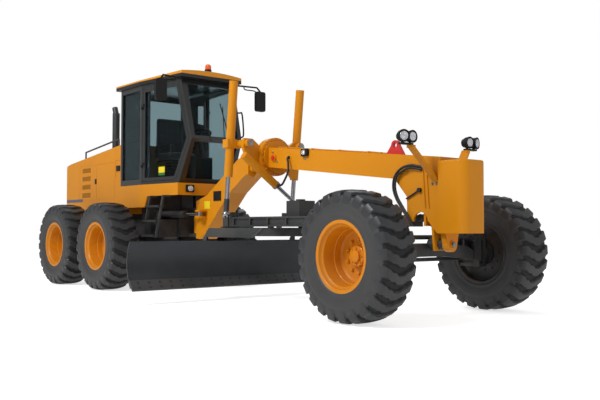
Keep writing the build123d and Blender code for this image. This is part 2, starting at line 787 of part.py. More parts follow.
def make_lifting_lug():
    x, t = 3370, 22
    base = beam_top(x)
    with BuildPart() as lug:
        foot = [(x - 130, beam_top(x - 130)), (x + 130, beam_top(x + 130))]
        side_prism(foot + [(x + 45, base + 120), (x - 45, base + 120)], (-t, t))
        rod((x, -t, base + 105), (x, t, base + 105), 55)
        rod((x, -t, base + 105), (x, t, base + 105), 30, mode=Mode.SUBTRACT)
    save(lug.part, "lifting_lug")


# Front axle and steering

def make_front_axle():
    x = (front_axle_x - axle_half_x, front_axle_x + axle_half_x)
    y, z = lean_pin
    with BuildPart() as axle:
        half = [(y, z + 45), (600, 739), (150, 775)]
        low = [(200, 634), (600, 600), (y, z - 45)]
        outline = half + [(-a, b) for a, b in reversed(half)] + [(-a, b) for a, b in reversed(low)] + low
        cross_prism(outline, x)
        for side in SIDES.values():
            rod((x[0], side * y, z), (x[1], side * y, z), 45)
            rod((x[0] - 36, side * y, z), (x[1] + 36, side * y, z), lean_pin_r)
        rod((x[1] - 20, 0, axle_pin_z), (lug_x[0], 0, axle_pin_z), axle_pin_r)
    save(axle.part, "front_axle")


def make_lean_bracket(name, side):
    y, z = lean_pin
    gap = axle_half_x + moving_gap
    with BuildPart() as bracket:
        for x in (gap, -gap - 25):
            x0 = front_axle_x + x
            cross_prism([(side * 700, 580), (side * 700, 880), (side * 790, 880), (side * 800, 800), (side * 800, 580)],
                        (x0, x0 + 25))
        block((front_axle_x - gap - 1, front_axle_x + gap + 1), (side * 795, side * 825), (600, 790))
        post_z = (539 + running_gap, 801 - running_gap)
        rod((front_axle_x, side * kingpin_y, post_z[0]), (front_axle_x, side * kingpin_y, post_z[1]), kingpin_r)
        for h in (z, lean_bar_z):
            rod((front_axle_x - 120, side * y, h), (front_axle_x + 120, side * y, h), lean_pin_r + running_gap,
                mode=Mode.SUBTRACT)
    save(bracket.part, f"lean_bracket_{name}")


def make_knuckle(name, side):
    post = (890, 930)
    with BuildPart() as knuckle:
        for z in ((801, 838), (502, 539)):
            rod((front_axle_x, side * kingpin_y, z[0]), (front_axle_x, side * kingpin_y, z[1]), 46)
            block((front_axle_x - 46, front_axle_x + 46), (side * kingpin_y, side * post[1]), z)
        block((front_axle_x - 55, front_axle_x + 55), (side * post[0], side * post[1]), (502, 838))
        rod((front_axle_x, side * post[1], tyre_r), (front_axle_x, side * (drum_face_y - running_gap), tyre_r), 75)
        block((front_axle_x - steer_arm, front_axle_x), (side * (kingpin_y - 22), side * (kingpin_y + 22)), (502, 539))
        rod((front_axle_x - steer_arm, side * kingpin_y, 502), (front_axle_x - steer_arm, side * kingpin_y, 539), 30)
    save(knuckle.part, f"knuckle_{name}")


def make_linkage():
    y, z = lean_pin
    with BuildPart() as lean_bar:
        rod((front_axle_x, -y, lean_bar_z), (front_axle_x, y, lean_bar_z), 24)
        for side in SIDES.values():
            rod((front_axle_x - 55, side * y, lean_bar_z), (front_axle_x + 55, side * y, lean_bar_z), 36)
            rod((front_axle_x - 100, side * y, lean_bar_z), (front_axle_x + 100, side * y, lean_bar_z), lean_pin_r)
    save(lean_bar.part, "lean_bar")
    x = front_axle_x - steer_arm
    with BuildPart() as stud:
        rod((x, -kingpin_y, 539 + running_gap), (x, -kingpin_y, tie_rod_z - tie_ball_r - running_gap), 16)
    save(stud.part, "tie_rod_stud")
    with BuildPart() as tie:
        rod((x, -kingpin_y, tie_rod_z), (x, kingpin_y, tie_rod_z), 22)
        for side in SIDES.values():
            with Locations((x, side * kingpin_y, tie_rod_z)):
                Sphere(tie_ball_r)
    save(tie.part, "tie_rod")


# Drawbar, circle and blade

def make_drawbar():
    low, top = drawbar_z
    inner, outer = drawbar_beam_y
    with BuildPart() as socket:
        with Locations((ball[0], 0, ball[1])):
            Cylinder(socket_r, 70)
            Sphere(ball_r + running_gap, mode=Mode.SUBTRACT)
        block((ball[0], ball[0] + 80), (-46, 46), (ball[1] - 46, ball[1] + 46), mode=Mode.SUBTRACT)
        for side in SIDES.values():
            rod((ball[0], side * (socket_r - 6), ball[1]), (ball[0], side * fork_y[1], ball[1]), 20)
    save(socket.part, "drawbar_socket")
    with BuildPart() as drawbar:
        outline = both_sides([(drawbar_rear_x, outer + 10), (drawbar_rear_x + 120, outer + 10), (drawbar_rear_x + 120, outer),
                              (drawbar_mid_x, outer), (fork_x, fork_y[1])])
        plan_prism(outline, (low, top))
        plan_prism(both_sides([(drawbar_rear_x + 120, inner), (1400, inner)]), (low, top), mode=Mode.SUBTRACT)
        plan_prism(both_sides([(1860, inner), (drawbar_mid_x - 60, inner)]), (low, top), mode=Mode.SUBTRACT)
        plan_prism(both_sides([(drawbar_mid_x + 60, inner - 60), (3560, 52)]), (low, top), mode=Mode.SUBTRACT)
        # The beams' outer sides are channels with ribs across them
        pitch = (pocket_x[1] - pocket_x[0]) / pocket_count
        for side in SIDES.values():
            for place in range(pocket_count):
                start = pocket_x[0] + place * pitch
                block((start, start + pitch - rib_t), (side * (outer - pocket_depth), side * outer), pocket_z,
                      mode=Mode.SUBTRACT)
        # Fork round the ball's socket
        for y in (fork_y, (-fork_y[1], -fork_y[0])):
            block((fork_x, ball[0]), y, (ball[1] - 45, top))
            rod((ball[0], y[0], ball[1]), (ball[0], y[1], ball[1]), 40)
            rod((ball[0], y[0] - 1, ball[1]), (ball[0], y[1] + 1, ball[1]), 20 + running_gap, mode=Mode.SUBTRACT)
        # Deck, gearbox and the shaft that drives the circle
        gx, gy = gearbox
        block((gx - 130, gx + 130), (gy - 130, gy + 130), (top, 1285))
        rod((gx, gy, 1285), (gx, gy, 1305), 60)
        rod((gx, gy, circle_z[0]), (gx, gy, low), pinion_r - 10)
        rod((gx, gy, circle_z[0] + 8), (gx, gy, circle_z[1]), pinion_r)
        # Shoes that the circle runs on
        shoe_r = mid(circle_r)
        for angle in (40, 135, 225, 320):
            sx, sy = circle_x + shoe_r * cos(radians(angle)), shoe_r * sin(radians(angle))
            rod((sx, sy, circle_z[1] + running_gap), (sx, sy, low), 40)
        # Bracket in front of the side-shift cylinder's eye
        bracket_x = (shift_x + 90, shift_x + 115)
        block((bracket_x[0], bracket_x[1] + 60), (shift_eye[0] - 60, inner + 10), (top - 20, top))
        block(bracket_x, (shift_eye[0] - 45, shift_eye[0] + 45), (top - 20, shift_eye[1]))
        rod((bracket_x[0], *shift_eye), (bracket_x[1], *shift_eye), 45)
        # Studs for the lift cylinders' rods
        for side in SIDES.values():
            block((790, 840), (side * 400, side * 482), (top, lift_eye[2] + 30))
    save(drawbar.part, "drawbar")


def make_circle():
    px, pz = tilt_pin
    inner, outer = arm_y
    arm = [(700, 935), (1850, 935), (1650, 815), (650, 815), (650, 500), (725, 435), (650, 370), (560, 450),
           (560, 790)]
    with BuildPart() as circle:
        rod((circle_x, 0, circle_skirt_z), (circle_x, 0, circle_z[1]), circle_r[1])
        rod((circle_x, 0, circle_skirt_z), (circle_x, 0, circle_z[1]), circle_r[0], mode=Mode.SUBTRACT)
        half_root, half_tip = pi * circle_r[0] / circle_teeth * 0.62, pi * circle_r[0] / circle_teeth * 0.3
        root = [(circle_r[0] + 6, -half_root), (circle_r[0] + 6, half_root)]
        tip = [(circle_r[0] - tooth_height, half_tip), (circle_r[0] - tooth_height, -half_tip)]
        for tooth in range(circle_teeth):
            turn = 2 * pi * tooth / circle_teeth
            outline = [(circle_x + a * cos(turn) - b * sin(turn), a * sin(turn) + b * cos(turn)) for a, b in root + tip]
            plan_prism(outline, circle_z)
        for side in SIDES.values():
            side_prism(arm, (side * inner, side * outer))
            rod((px, side * inner, pz), (px, side * outer, pz), 48)
            rod((px, side * (inner - 1), pz), (px, side * (outer + 1), pz), tilt_pin_r + running_gap, mode=Mode.SUBTRACT)
            block((circle_x - 260, circle_x + 260), (side * 655, side * inner), (circle_z[0] + 20, circle_z[1] - 5))
    save(circle.part, "circle")


def blade_arc():
    """Centre and radius of the blade's curved front face, from its chord and depth."""
    (x0, z0), (x1, z1) = blade_low, blade_top
    chord = hypot(x1 - x0, z1 - z0)
    radius = (chord**2 / 4 + blade_depth**2) / (2 * blade_depth)
    nx, nz = (z1 - z0) / chord, (x0 - x1) / chord
    reach = radius - blade_depth
    return ((x0 + x1) / 2 + nx * reach, (z0 + z1) / 2 + nz * reach), radius


def arc_strip(centre, radii, angles, half_length):
    """A curved plate along Y, between two radii and two angles."""
    inner, outer = radii
    start, end = angles
    with BuildSketch(Plane.XZ) as section:
        with BuildLine():
            low = CenterArc(centre, inner, start, end - start)
            high = CenterArc(centre, outer, start, end - start)
            Line(low @ 0, high @ 0)
            Line(low @ 1, high @ 1)
        make_face()
    extrude(section.sketch, amount=half_length, both=True)


def make_blade():
    centre, radius = blade_arc()
    low = degrees(atan2(blade_low[1] - centre[1], blade_low[0] - centre[0])) % 360
    top = degrees(atan2(blade_top[1] - centre[1], blade_top[0] - centre[0])) % 360
    strip = degrees(edge_height / radius)
    half = blade_length / 2
    with BuildPart() as blade:
        arc_strip(centre, (radius, radius + blade_t), (low - degrees(60 / radius), top), half)
        # Rails on the back that the carrier slides on
        block((748, 800), (60 - half, half - 60), (617, 663))
        block((770, 826), (60 - half, half - 60), (277, 323))
    save(blade.part, "blade")
    with BuildPart() as edge:
        arc_strip(centre, (radius - edge_t - 0.3, radius - 0.3), (low, low - strip), half)
    save(edge.part, "cutting_edge")


def make_carrier():
    px, pz = tilt_pin
    with BuildPart() as carrier:
        for side in SIDES.values():
            y = (side * carrier_y[0], side * carrier_y[1])
            side_prism([(650, 375), (650, 425), (700, 600), (700, 680), (747.5, 680), (747.5, 600), (735, 425),
                        (769.5, 340), (769.5, 260), (722, 260), (680, 355)], y)
            for z in ((664, 680), (600, 616)):
                block((700, 775), y, z)
            for z in ((324, 340), (260, 276)):
                block((722, 790), y, z)
        rod((px, -arm_y[1], pz), (px, arm_y[1], pz), tilt_pin_r)
        rod((px, -carrier_y[1], pz), (px, carrier_y[1], pz), 38)
    save(carrier.part, "blade_carrier")


# Cylinders

def along(start, end, distance):
    """The point that lies a distance from start towards end."""
    step = (Vector(*end) - Vector(*start)).normalized()
    return tuple(Vector(*start) + step * distance)


def flip(point, side):
    return (point[0], side * point[1], point[2])


def make_lift_cylinder(name, side):
    top, low, eye = (flip(p, side) for p in (lift_top, lift_low, lift_eye))
    hinge = flip(lift_hinge, side)
    low = along(eye, top, hypot(lift_eye[0] - lift_low[0], lift_eye[1] - lift_low[1], lift_eye[2] - lift_low[2]))
    inner_top = along(top, eye, 40)
    with BuildPart() as barrel:
        rod(top, low, lift_barrel_r)
        rod(inner_top, along(low, top, -10), lift_rod_r + running_gap, mode=Mode.SUBTRACT)
        block((850, 965), (side * 480, side * 640), (1990, 2100))
        rod((880, hinge[1], hinge[2]), (lift_hinge[0] + 20 - running_gap, hinge[1], hinge[2]), 55)
        block((880, 965), (side * 400, side * 500), (2000, 2090))
        rod(inner_top, along(low, top, -10), lift_rod_r + running_gap, mode=Mode.SUBTRACT)
    save(barrel.part, f"lift_barrel_{name}")
    with BuildPart() as piston:
        rod(along(eye, top, lift_rod_length), eye, lift_rod_r)
        with Locations(eye):
            Sphere(52)
        rod(along(eye, top, 205), eye, 34)
    save(piston.part, f"lift_rod_{name}")


def make_shift_cylinder():
    pivot = (shift_x, *shift_pivot)
    eye = (shift_x, *shift_eye)
    with BuildPart() as barrel:
        rod(along(pivot, eye, shift_barrel[0]), along(pivot, eye, shift_barrel[1]), shift_barrel_r)
        rod((shift_x - shift_barrel_r - 12 + running_gap, *shift_pivot), pivot, 38)
        rod(along(pivot, eye, shift_barrel[0] + 30), along(pivot, eye, shift_barrel[1] + 10), shift_rod_r + running_gap, mode=Mode.SUBTRACT)
    save(barrel.part, "shift_barrel")
    with BuildPart() as piston:
        rod(along(eye, pivot, shift_rod_length), eye, shift_rod_r)
        rod((shift_x - 30, *shift_eye), (shift_x + shift_barrel_r, *shift_eye), 38)
    save(piston.part, "shift_rod")


def make_turn_cylinder(name, side):
    pivot, eye = flip(turn_pivot, side), flip(turn_eye, side)
    z = turn_pivot[2]
    with BuildPart() as barrel:
        rod(along(pivot, eye, 70), along(pivot, eye, turn_barrel_length), turn_barrel_r)
        rod(pivot, along(pivot, eye, 75), 30)
        rod((pivot[0], pivot[1], 1101), (pivot[0], pivot[1], 1179), 38)
        rod((pivot[0], pivot[1], 1090), (pivot[0], pivot[1], 1190), 20 + running_gap, mode=Mode.SUBTRACT)
        rod(along(pivot, eye, 90), along(pivot, eye, turn_barrel_length + 10), turn_rod_r + running_gap, mode=Mode.SUBTRACT)
    save(barrel.part, f"turn_barrel_{name}")
    with BuildPart() as piston:
        rod(along(eye, pivot, turn_rod_length), eye, turn_rod_r)
        rod((eye[0], eye[1], z - 29), (eye[0], eye[1], z + 29), 38)
        rod((eye[0], eye[1], z - 40), (eye[0], eye[1], z + 40), 18, mode=Mode.SUBTRACT)
    save(piston.part, f"turn_rod_{name}")


make_wheels()
make_tandem_axle()
make_rear_frame()
make_hood()
make_exhaust()
make_deck()
make_cab()
make_roof()
make_cab_fittings()
make_ladders()
make_front_frame()
make_front_block()
make_saddle()
make_lamps()
make_lifting_lug()
make_front_axle()
for name, side in SIDES.items():
    make_lean_bracket(name, side)
    make_knuckle(name, side)
    make_lift_cylinder(name, side)
    make_turn_cylinder(name, side)
make_linkage()
make_drawbar()
make_circle()
make_blade()
make_carrier()
make_shift_cylinder()
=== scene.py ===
"""Dresses the motor grader: finishes, tyres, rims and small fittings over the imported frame."""
from math import atan2, cos, exp, pi, radians, sin

import bmesh
import bpy
from mathutils import Matrix, Vector


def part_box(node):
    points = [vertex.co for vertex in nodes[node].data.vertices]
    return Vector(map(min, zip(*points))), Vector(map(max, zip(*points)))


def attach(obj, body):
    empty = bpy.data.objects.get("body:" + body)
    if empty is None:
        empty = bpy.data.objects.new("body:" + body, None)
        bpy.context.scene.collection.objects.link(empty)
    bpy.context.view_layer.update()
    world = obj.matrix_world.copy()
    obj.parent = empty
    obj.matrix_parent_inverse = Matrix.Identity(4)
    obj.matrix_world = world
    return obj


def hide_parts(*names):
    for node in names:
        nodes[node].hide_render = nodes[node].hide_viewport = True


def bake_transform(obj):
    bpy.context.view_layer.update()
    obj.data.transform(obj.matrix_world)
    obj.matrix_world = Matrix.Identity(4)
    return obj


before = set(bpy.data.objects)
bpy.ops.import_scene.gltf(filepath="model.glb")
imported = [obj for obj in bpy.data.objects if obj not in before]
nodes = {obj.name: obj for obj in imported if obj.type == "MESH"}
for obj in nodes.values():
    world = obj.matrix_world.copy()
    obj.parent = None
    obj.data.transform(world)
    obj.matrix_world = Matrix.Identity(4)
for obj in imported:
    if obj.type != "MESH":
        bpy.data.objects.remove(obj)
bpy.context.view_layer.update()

scene = bpy.context.scene
sides = {"right": -1, "left": 1}
wheel_rows = {"front": 3.830, "middle": -1.620, "rear": -3.158}
beam_side = 0.150

# Finishes: colours are linear values
yellow = (0.67, 0.247, 0.004, 1)
roof_yellow = (0.70, 0.27, 0.006, 1)
rim_yellow = (0.62, 0.21, 0.002, 1)
charcoal = (0.026, 0.029, 0.032, 1)
cab_black = (0.012, 0.013, 0.014, 1)
trim_black = (0.008, 0.008, 0.009, 1)
dust_tan = (0.23, 0.19, 0.14, 1)
steel_dust = (0.10, 0.095, 0.085, 1)


# Shader groups

def new_group(name, inputs, outputs):
    """A shader group with named inputs (name, kind, default) and outputs (name, kind)."""
    group = bpy.data.node_groups.new(name, "ShaderNodeTree")
    for label, kind, value in inputs:
        socket = group.interface.new_socket(label, in_out="INPUT", socket_type=f"NodeSocket{kind}")
        socket.default_value = value
    for label, kind in outputs:
        group.interface.new_socket(label, in_out="OUTPUT", socket_type=f"NodeSocket{kind}")
    return group, group.nodes.new("NodeGroupInput"), group.nodes.new("NodeGroupOutput")


def node(tree, kind, **settings):
    """A node with its settings; a setting whose name is a socket's sets that input."""
    made = tree.nodes.new(kind)
    for key, value in settings.items():
        if hasattr(made, key):
            setattr(made, key, value)
        else:
            set_inputs(made, **{key: value})
    return made


def link(tree, start, end):
    tree.links.new(start, end)


def set_inputs(made, **values):
    """Sets a node's inputs by their names."""
    for key, value in values.items():
        made.inputs[key.replace("_", " ")].default_value = value


def feed(tree, socket, value):
    """Links an output to an input, or sets the input to a plain value."""
    if isinstance(value, bpy.types.NodeSocket):
        link(tree, value, socket)
    else:
        socket.default_value = value


def maths(tree, operation, *values, **settings):
    """The result of a Math node on plain values or outputs."""
    made = node(tree, "ShaderNodeMath", operation=operation, **settings)
    for socket, value in zip(made.inputs, values):
        feed(tree, socket, value)
    return made.outputs[0]


def mixed(tree, factor, first, second, kind="RGBA"):
    """A colour or a number between two. The Mix node has other sockets for each kind of data."""
    made = node(tree, "ShaderNodeMix", data_type=kind)
    low, high, result = {"FLOAT": (2, 3, 0), "RGBA": (6, 7, 2)}[kind]
    for socket, value in (("Factor", factor), (low, first), (high, second)):
        feed(tree, made.inputs[socket], value)
    return made.outputs[result]


def own_place(tree):
    return node(tree, "ShaderNodeTexCoord").outputs["Object"]


def axes(tree, vector):
    """The three numbers of a vector, by axis."""
    split = node(tree, "ShaderNodeSeparateXYZ")
    link(tree, vector, split.inputs[0])
    return {axis: split.outputs[axis] for axis in "XYZ"}


def noise(tree, scale, **settings):
    """The value of a noise in the object's own space."""
    made = node(tree, "ShaderNodeTexNoise", **settings)
    link(tree, own_place(tree), made.inputs["Vector"])
    link(tree, scale, made.inputs["Scale"])
    return made.outputs["Fac"]


def make_dirt_group():
    """Dust that settles low on the machine, broken up by noise."""
    group, start, end = new_group("settled_dirt", [
        ("Paint", "Color", yellow),
        ("Dirt", "Color", dust_tan),
        ("Amount", "Float", 0.35),
        ("Reach", "Float", 1.3),
        ("Gloss", "Float", 0.35),
        ("Scale", "Float", 3.0),
    ], [("Color", "Color"), ("Roughness", "Float"), ("Mask", "Float")])
    patch_from, patch_to = 0.38, 0.72
    low_share, share_anywhere, dust_roughness = 0.75, 0.12, 0.9
    low = node(group, "ShaderNodeMapRange", To_Min=1.0, To_Max=0.0)
    link(group, axes(group, own_place(group))["Z"], low.inputs["Value"])
    link(group, start.outputs["Reach"], low.inputs["From Max"])
    patch = node(group, "ShaderNodeMapRange", From_Min=patch_from, From_Max=patch_to)
    link(group, noise(group, start.outputs["Scale"], Detail=6.0, Roughness=0.62), patch.inputs["Value"])
    share = maths(group, "MULTIPLY_ADD", low.outputs[0], low_share, share_anywhere)
    cover = maths(group, "MULTIPLY", share, patch.outputs[0])
    amount = maths(group, "MULTIPLY", cover, start.outputs["Amount"], use_clamp=True)
    link(group, mixed(group, amount, start.outputs["Paint"], start.outputs["Dirt"]), end.inputs["Color"])
    rough = mixed(group, amount, start.outputs["Gloss"], dust_roughness, "FLOAT")
    link(group, rough, end.inputs["Roughness"])
    link(group, amount, end.inputs["Mask"])
    return group


def make_tone_group():
    """A slight change of tone over a surface, as sprayed paint or cast metal has."""
    group, start, end = new_group("tone_shift", [
        ("Color", "Color", yellow),
        ("Strength", "Float", 0.08),
        ("Scale", "Float", 1.6),
    ], [("Color", "Color")])
    centred = maths(group, "SUBTRACT", noise(group, start.outputs["Scale"], Detail=3.0), 0.5)
    scaled = maths(group, "MULTIPLY", centred, start.outputs["Strength"])
    shade = node(group, "ShaderNodeHueSaturation")
    link(group, start.outputs["Color"], shade.inputs["Color"])
    link(group, maths(group, "MULTIPLY_ADD", scaled, 2.0, 1.0), shade.inputs["Value"])
    link(group, shade.outputs[0], end.inputs["Color"])
    return group


def make_grain_group():
    """Fine height for a bump: an even grain over a broader unevenness."""
    group, start, end = new_group("surface_grain", [
        ("Fine", "Float", 140.0),
        ("Broad", "Float", 9.0),
        ("Broad Share", "Float", 0.5),
    ], [("Height", "Float")])
    fine, broad = (noise(group, start.outputs[scale], Detail=2.0) for scale in ("Fine", "Broad"))
    link(group, mixed(group, start.outputs["Broad Share"], fine, broad, "FLOAT"), end.inputs["Height"])
    return group


def make_region_group():
    """1 inside a box between two corners in the object's own space, and 0 outside.

    Y counts from the middle, so that one box serves both sides.
    """
    group, start, end = new_group("region_mask", [
        ("Low", "Vector", (0, 0, 0)),
        ("High", "Vector", (1, 1, 1)),
    ], [("Mask", "Float")])
    place = axes(group, own_place(group))
    place["Y"] = maths(group, "ABSOLUTE", place["Y"])
    low, high = axes(group, start.outputs["Low"]), axes(group, start.outputs["High"])
    inside = 1.0
    for axis in "XYZ":
        for less, more in ((low[axis], place[axis]), (place[axis], high[axis])):
            inside = maths(group, "MULTIPLY", inside, maths(group, "GREATER_THAN", more, less))
    link(group, inside, end.inputs["Mask"])
    return group


dirt_group = make_dirt_group()
region_group = make_region_group()
tone_group = make_tone_group()
grain_group = make_grain_group()


def placed(tree, group, **values):
    """A group placed in a material with its own values."""
    made = tree.nodes.new("ShaderNodeGroup")
    made.node_tree = group
    for key, value in values.items():
        feed(tree, made.inputs[key.replace("_", " ")], value)
    return made


def new_material(name):
    """A material, its tree and its Principled shader."""
    made = bpy.data.materials.new(name)
    made.use_nodes = True
    return made, made.node_tree, made.node_tree.nodes["Principled BSDF"]


def finish(name, colour, gloss, metal=0.0, dirt=0.35, reach=1.3, dirt_colour=dust_tan, tone=0.06,
           grain=(140, 9, 0.5), bump=0.05, bump_distance=0.001, dirt_scale=3.0, regions=(), **sockets):
    """A painted, cast or moulded finish: tone shift, settled dirt and a bump from the grain.

    The grain is a fine scale, a broad scale and the broad one's share. Each region is a low corner,
    a high corner and the colour that the paint has between them.
    """
    made, tree, shader = new_material(name)
    set_inputs(shader, Metallic=metal, **sockets)
    base = colour
    for low, high, inside in regions:
        mask = placed(tree, region_group, Low=low, High=high)
        base = mixed(tree, mask.outputs["Mask"], base, inside)
    shifted = placed(tree, tone_group, Color=base, Strength=tone)
    dirty = placed(tree, dirt_group, Paint=shifted.outputs["Color"], Dirt=dirt_colour, Amount=dirt,
                   Reach=reach, Gloss=gloss, Scale=dirt_scale)
    link(tree, dirty.outputs["Color"], shader.inputs["Base Color"])
    link(tree, dirty.outputs["Roughness"], shader.inputs["Roughness"])
    fine, broad, broad_share = grain
    height = placed(tree, grain_group, Fine=fine, Broad=broad, Broad_Share=broad_share)
    bumped = node(tree, "ShaderNodeBump", Strength=bump, Distance=bump_distance)
    link(tree, height.outputs["Height"], bumped.inputs["Height"])
    link(tree, bumped.outputs["Normal"], shader.inputs["Normal"])
    return made


def make_glass():
    """Tinted glass that hardly bends what is seen through it, without dirt."""
    made, tree, shader = new_material("tinted_glazing")
    set_inputs(shader, Transmission_Weight=1.0, Roughness=0.02, IOR=1.12)
    tint = placed(tree, tone_group, Color=(0.60, 0.74, 0.77, 1), Strength=0.04, Scale=0.7)
    link(tree, tint.outputs["Color"], shader.inputs["Base Color"])
    return made


# Regions of another colour in the paint, and recesses of the hood painted black as painted shade
# The floors and sides of the louvre slits in the hood's sides are painted black: painted shade in the slits
hood_louvre_painted_shade = ((-3.69, 0.5425, 1.455), (-3.35, 0.548, 1.975), trim_black)
# The faces recessed in the grille opening at the back of the hood, the bars' faces included, are painted
# black: painted shade in the opening
hood_grille_painted_shade = ((-4.484, 0.0, 1.60), (-4.43, 0.345, 2.06), trim_black)
roof_lining = ((-2.4, 0.0, 3.0), (0.0, 0.8, 3.192), cab_black)
deck_lamp_pockets = ((-0.487, 0.26, 1.45), (-0.40, 0.38, 1.58), trim_black)

yellow_coat = {"gloss": 0.36, "tone": 0.05, "Specular_IOR_Level": 0.22, "Coat_Weight": 0.05}
paint = finish("machine_yellow", yellow, dirt=0.16, reach=1.0, **yellow_coat)
# The hood's paint carries the painted shade of its louvre slits and its grille opening
hood_paint = finish("hood_yellow", yellow, dirt=0.16, reach=1.0,
                    regions=[hood_louvre_painted_shade, hood_grille_painted_shade], **yellow_coat)
roof_paint = finish("roof_yellow", roof_yellow, 0.32, dirt=0.12, Specular_IOR_Level=0.3, Coat_Weight=0.1,
                    regions=[roof_lining])
deck_paint = finish("deck_yellow", yellow, dirt=0.2, reach=1.3, regions=[deck_lamp_pockets], **yellow_coat)
rim_paint = finish("rim_yellow", rim_yellow, 0.38, dirt=0.25, reach=1.4, tone=0.08,
                   Specular_IOR_Level=0.25, Coat_Weight=0.05)
rim_dark = finish("rim_inner_black", trim_black, 0.5, dirt=0.4, reach=1.6)
dark_paint = finish("charcoal_paint", charcoal, 0.42, dirt=0.35, reach=1.6)
frame_paint = finish("frame_black", (0.016, 0.017, 0.019, 1), 0.45, dirt=0.4, reach=1.6)
cab_paint = finish("cab_black", cab_black, 0.28, dirt=0.06, Coat_Weight=0.4, Coat_Roughness=0.1)
blade_steel = finish("blade_steel", (0.034, 0.040, 0.046, 1), 0.40, metal=0.45, dirt=0.35, reach=0.9,
                     dirt_colour=steel_dust, tone=0.35, grain=(60, 5, 0.6), bump=0.25)
edge_steel = finish("cutting_edge", (0.085, 0.088, 0.092, 1), 0.36, metal=0.7, dirt=0.35, reach=0.6,
                    dirt_colour=steel_dust, tone=0.5, bump=0.3)
rod_chrome = finish("rod_chrome", (0.36, 0.37, 0.39, 1), 0.2, metal=1.0, dirt=0.1, reach=1.6, bump=0.01)
bolt_steel = finish("bolt_steel", (0.30, 0.29, 0.27, 1), 0.35, metal=0.9, dirt=0.3, reach=2.0, bump=0.1)
tyre_rubber = finish("tyre_rubber", (0.034, 0.0348, 0.0362, 1), 0.50, dirt=0.22, reach=1.7,
                     dirt_colour=(0.075, 0.07, 0.064, 1), tone=0.3, grain=(90, 12, 0.4), bump=0.35,
                     bump_distance=0.002, dirt_scale=5.0)
tread_rubber = finish("tread_rubber", (0.024, 0.0255, 0.0285, 1), 0.42, dirt=0.25, reach=1.7,
                      dirt_colour=(0.085, 0.08, 0.073, 1), tone=0.35, grain=(70, 14, 0.5), bump=0.3,
                      bump_distance=0.002, dirt_scale=6.0)
red_paint = finish("lug_red", (0.62, 0.022, 0.016, 1), 0.32, dirt=0.08, Coat_Weight=0.3)
beacon_lens = finish("beacon_orange", (0.86, 0.13, 0.006, 1), 0.12, dirt=0.03, Coat_Weight=0.6)
black_plastic = finish("black_plastic", trim_black, 0.5, dirt=0.03, reach=3.5, grain=(220, 20, 0.3),
                       bump=0.2, Specular_IOR_Level=0.25)
edge_bolt = finish("edge_bolt", (0.055, 0.057, 0.060, 1), 0.4, metal=0.7, dirt=0.3, reach=1.0, bump=0.1)
hose_rubber = finish("hose_rubber", (0.010, 0.010, 0.011, 1), 0.55, dirt=0.15, reach=2.2,
                     grain=(300, 30, 0.4), bump=0.3)
liner_grey = finish("cab_liner", (0.042, 0.044, 0.048, 1), 0.8, dirt=0.02, reach=2.0,
                    grain=(260, 40, 0.3), bump=0.3)
lens_clear = finish("lamp_lens", (0.62, 0.64, 0.68, 1), 0.10, metal=0.55, dirt=0.02,
                    Coat_Weight=1.0, Coat_Roughness=0.03)
mirror_glass = finish("mirror_glass", (0.72, 0.74, 0.76, 1), 0.04, metal=1.0, dirt=0.02, bump=0.0)
stripe_blue = finish("stripe_blue", (0.07, 0.10, 0.17, 1), 0.35, dirt=0.1)
plate_yellow = finish("plate_yellow", (0.80, 0.62, 0.01, 1), 0.35, dirt=0.08)
plate_green = finish("plate_green", (0.02, 0.16, 0.03, 1), 0.35, dirt=0.05)
# The ground between the lugs is the tyre's rubber painted darker: painted shade between the lugs
groove_rubber_painted_shade = finish("groove_rubber_painted_shade", (0.019, 0.0198, 0.0212, 1), 0.6, dirt=0.2, reach=1.7,
                       dirt_colour=(0.05, 0.047, 0.042, 1), tone=0.3, bump=0.3, Specular_IOR_Level=0.25)
seat_cloth = finish("seat_cloth", (0.022, 0.024, 0.028, 1), 0.88, dirt=0.04, grain=(420, 60, 0.3), bump=0.6,
                    Sheen_Weight=0.3)
glazing = make_glass()


def both(name):
    return [f"{name}_{side}" for side in sides]


node_finish = {
    paint: ["front_frame", "front_block", *both("lift_barrel"), "shift_barrel", "saddle"],
    hood_paint: ["engine_hood"],
    deck_paint: ["cab_deck"],
    roof_paint: ["cab_roof"],
    frame_paint: ["rear_frame", *both("turn_barrel"), "tandem_axle"],
    dark_paint: ["ladders_and_rails", "exhaust", *both("lean_bracket"), *both("knuckle"), "lean_bar",
                 "tie_rod", "tie_rod_stud", "drawbar", "circle", "blade_carrier", "engine",
                 "drawbar_socket", "front_axle"],
    cab_paint: ["cab_frame", *both("door")],
    blade_steel: ["blade"],
    edge_steel: ["cutting_edge"],
    rod_chrome: [*both("lift_rod"), "shift_rod", *both("turn_rod")],
    rim_paint: [name for row in wheel_rows for name in both(f"rim_{row}")],
    tyre_rubber: [name for row in wheel_rows for name in both(f"tyre_{row}")],
    glazing: ["cab_glass", *both("door_glass")],
    red_paint: ["lifting_lug"],
    beacon_lens: ["beacon"],
    black_plastic: ["mirrors", "steering_console", "headlamps"],
    seat_cloth: ["seat"],
}


def dress_nodes():
    """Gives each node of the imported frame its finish."""
    for material, names in node_finish.items():
        for name in names:
            mesh = nodes[name].data
            mesh.materials.clear()
            mesh.materials.append(material)


# Geometry Nodes: one tree repeats a mesh along a step and a turn

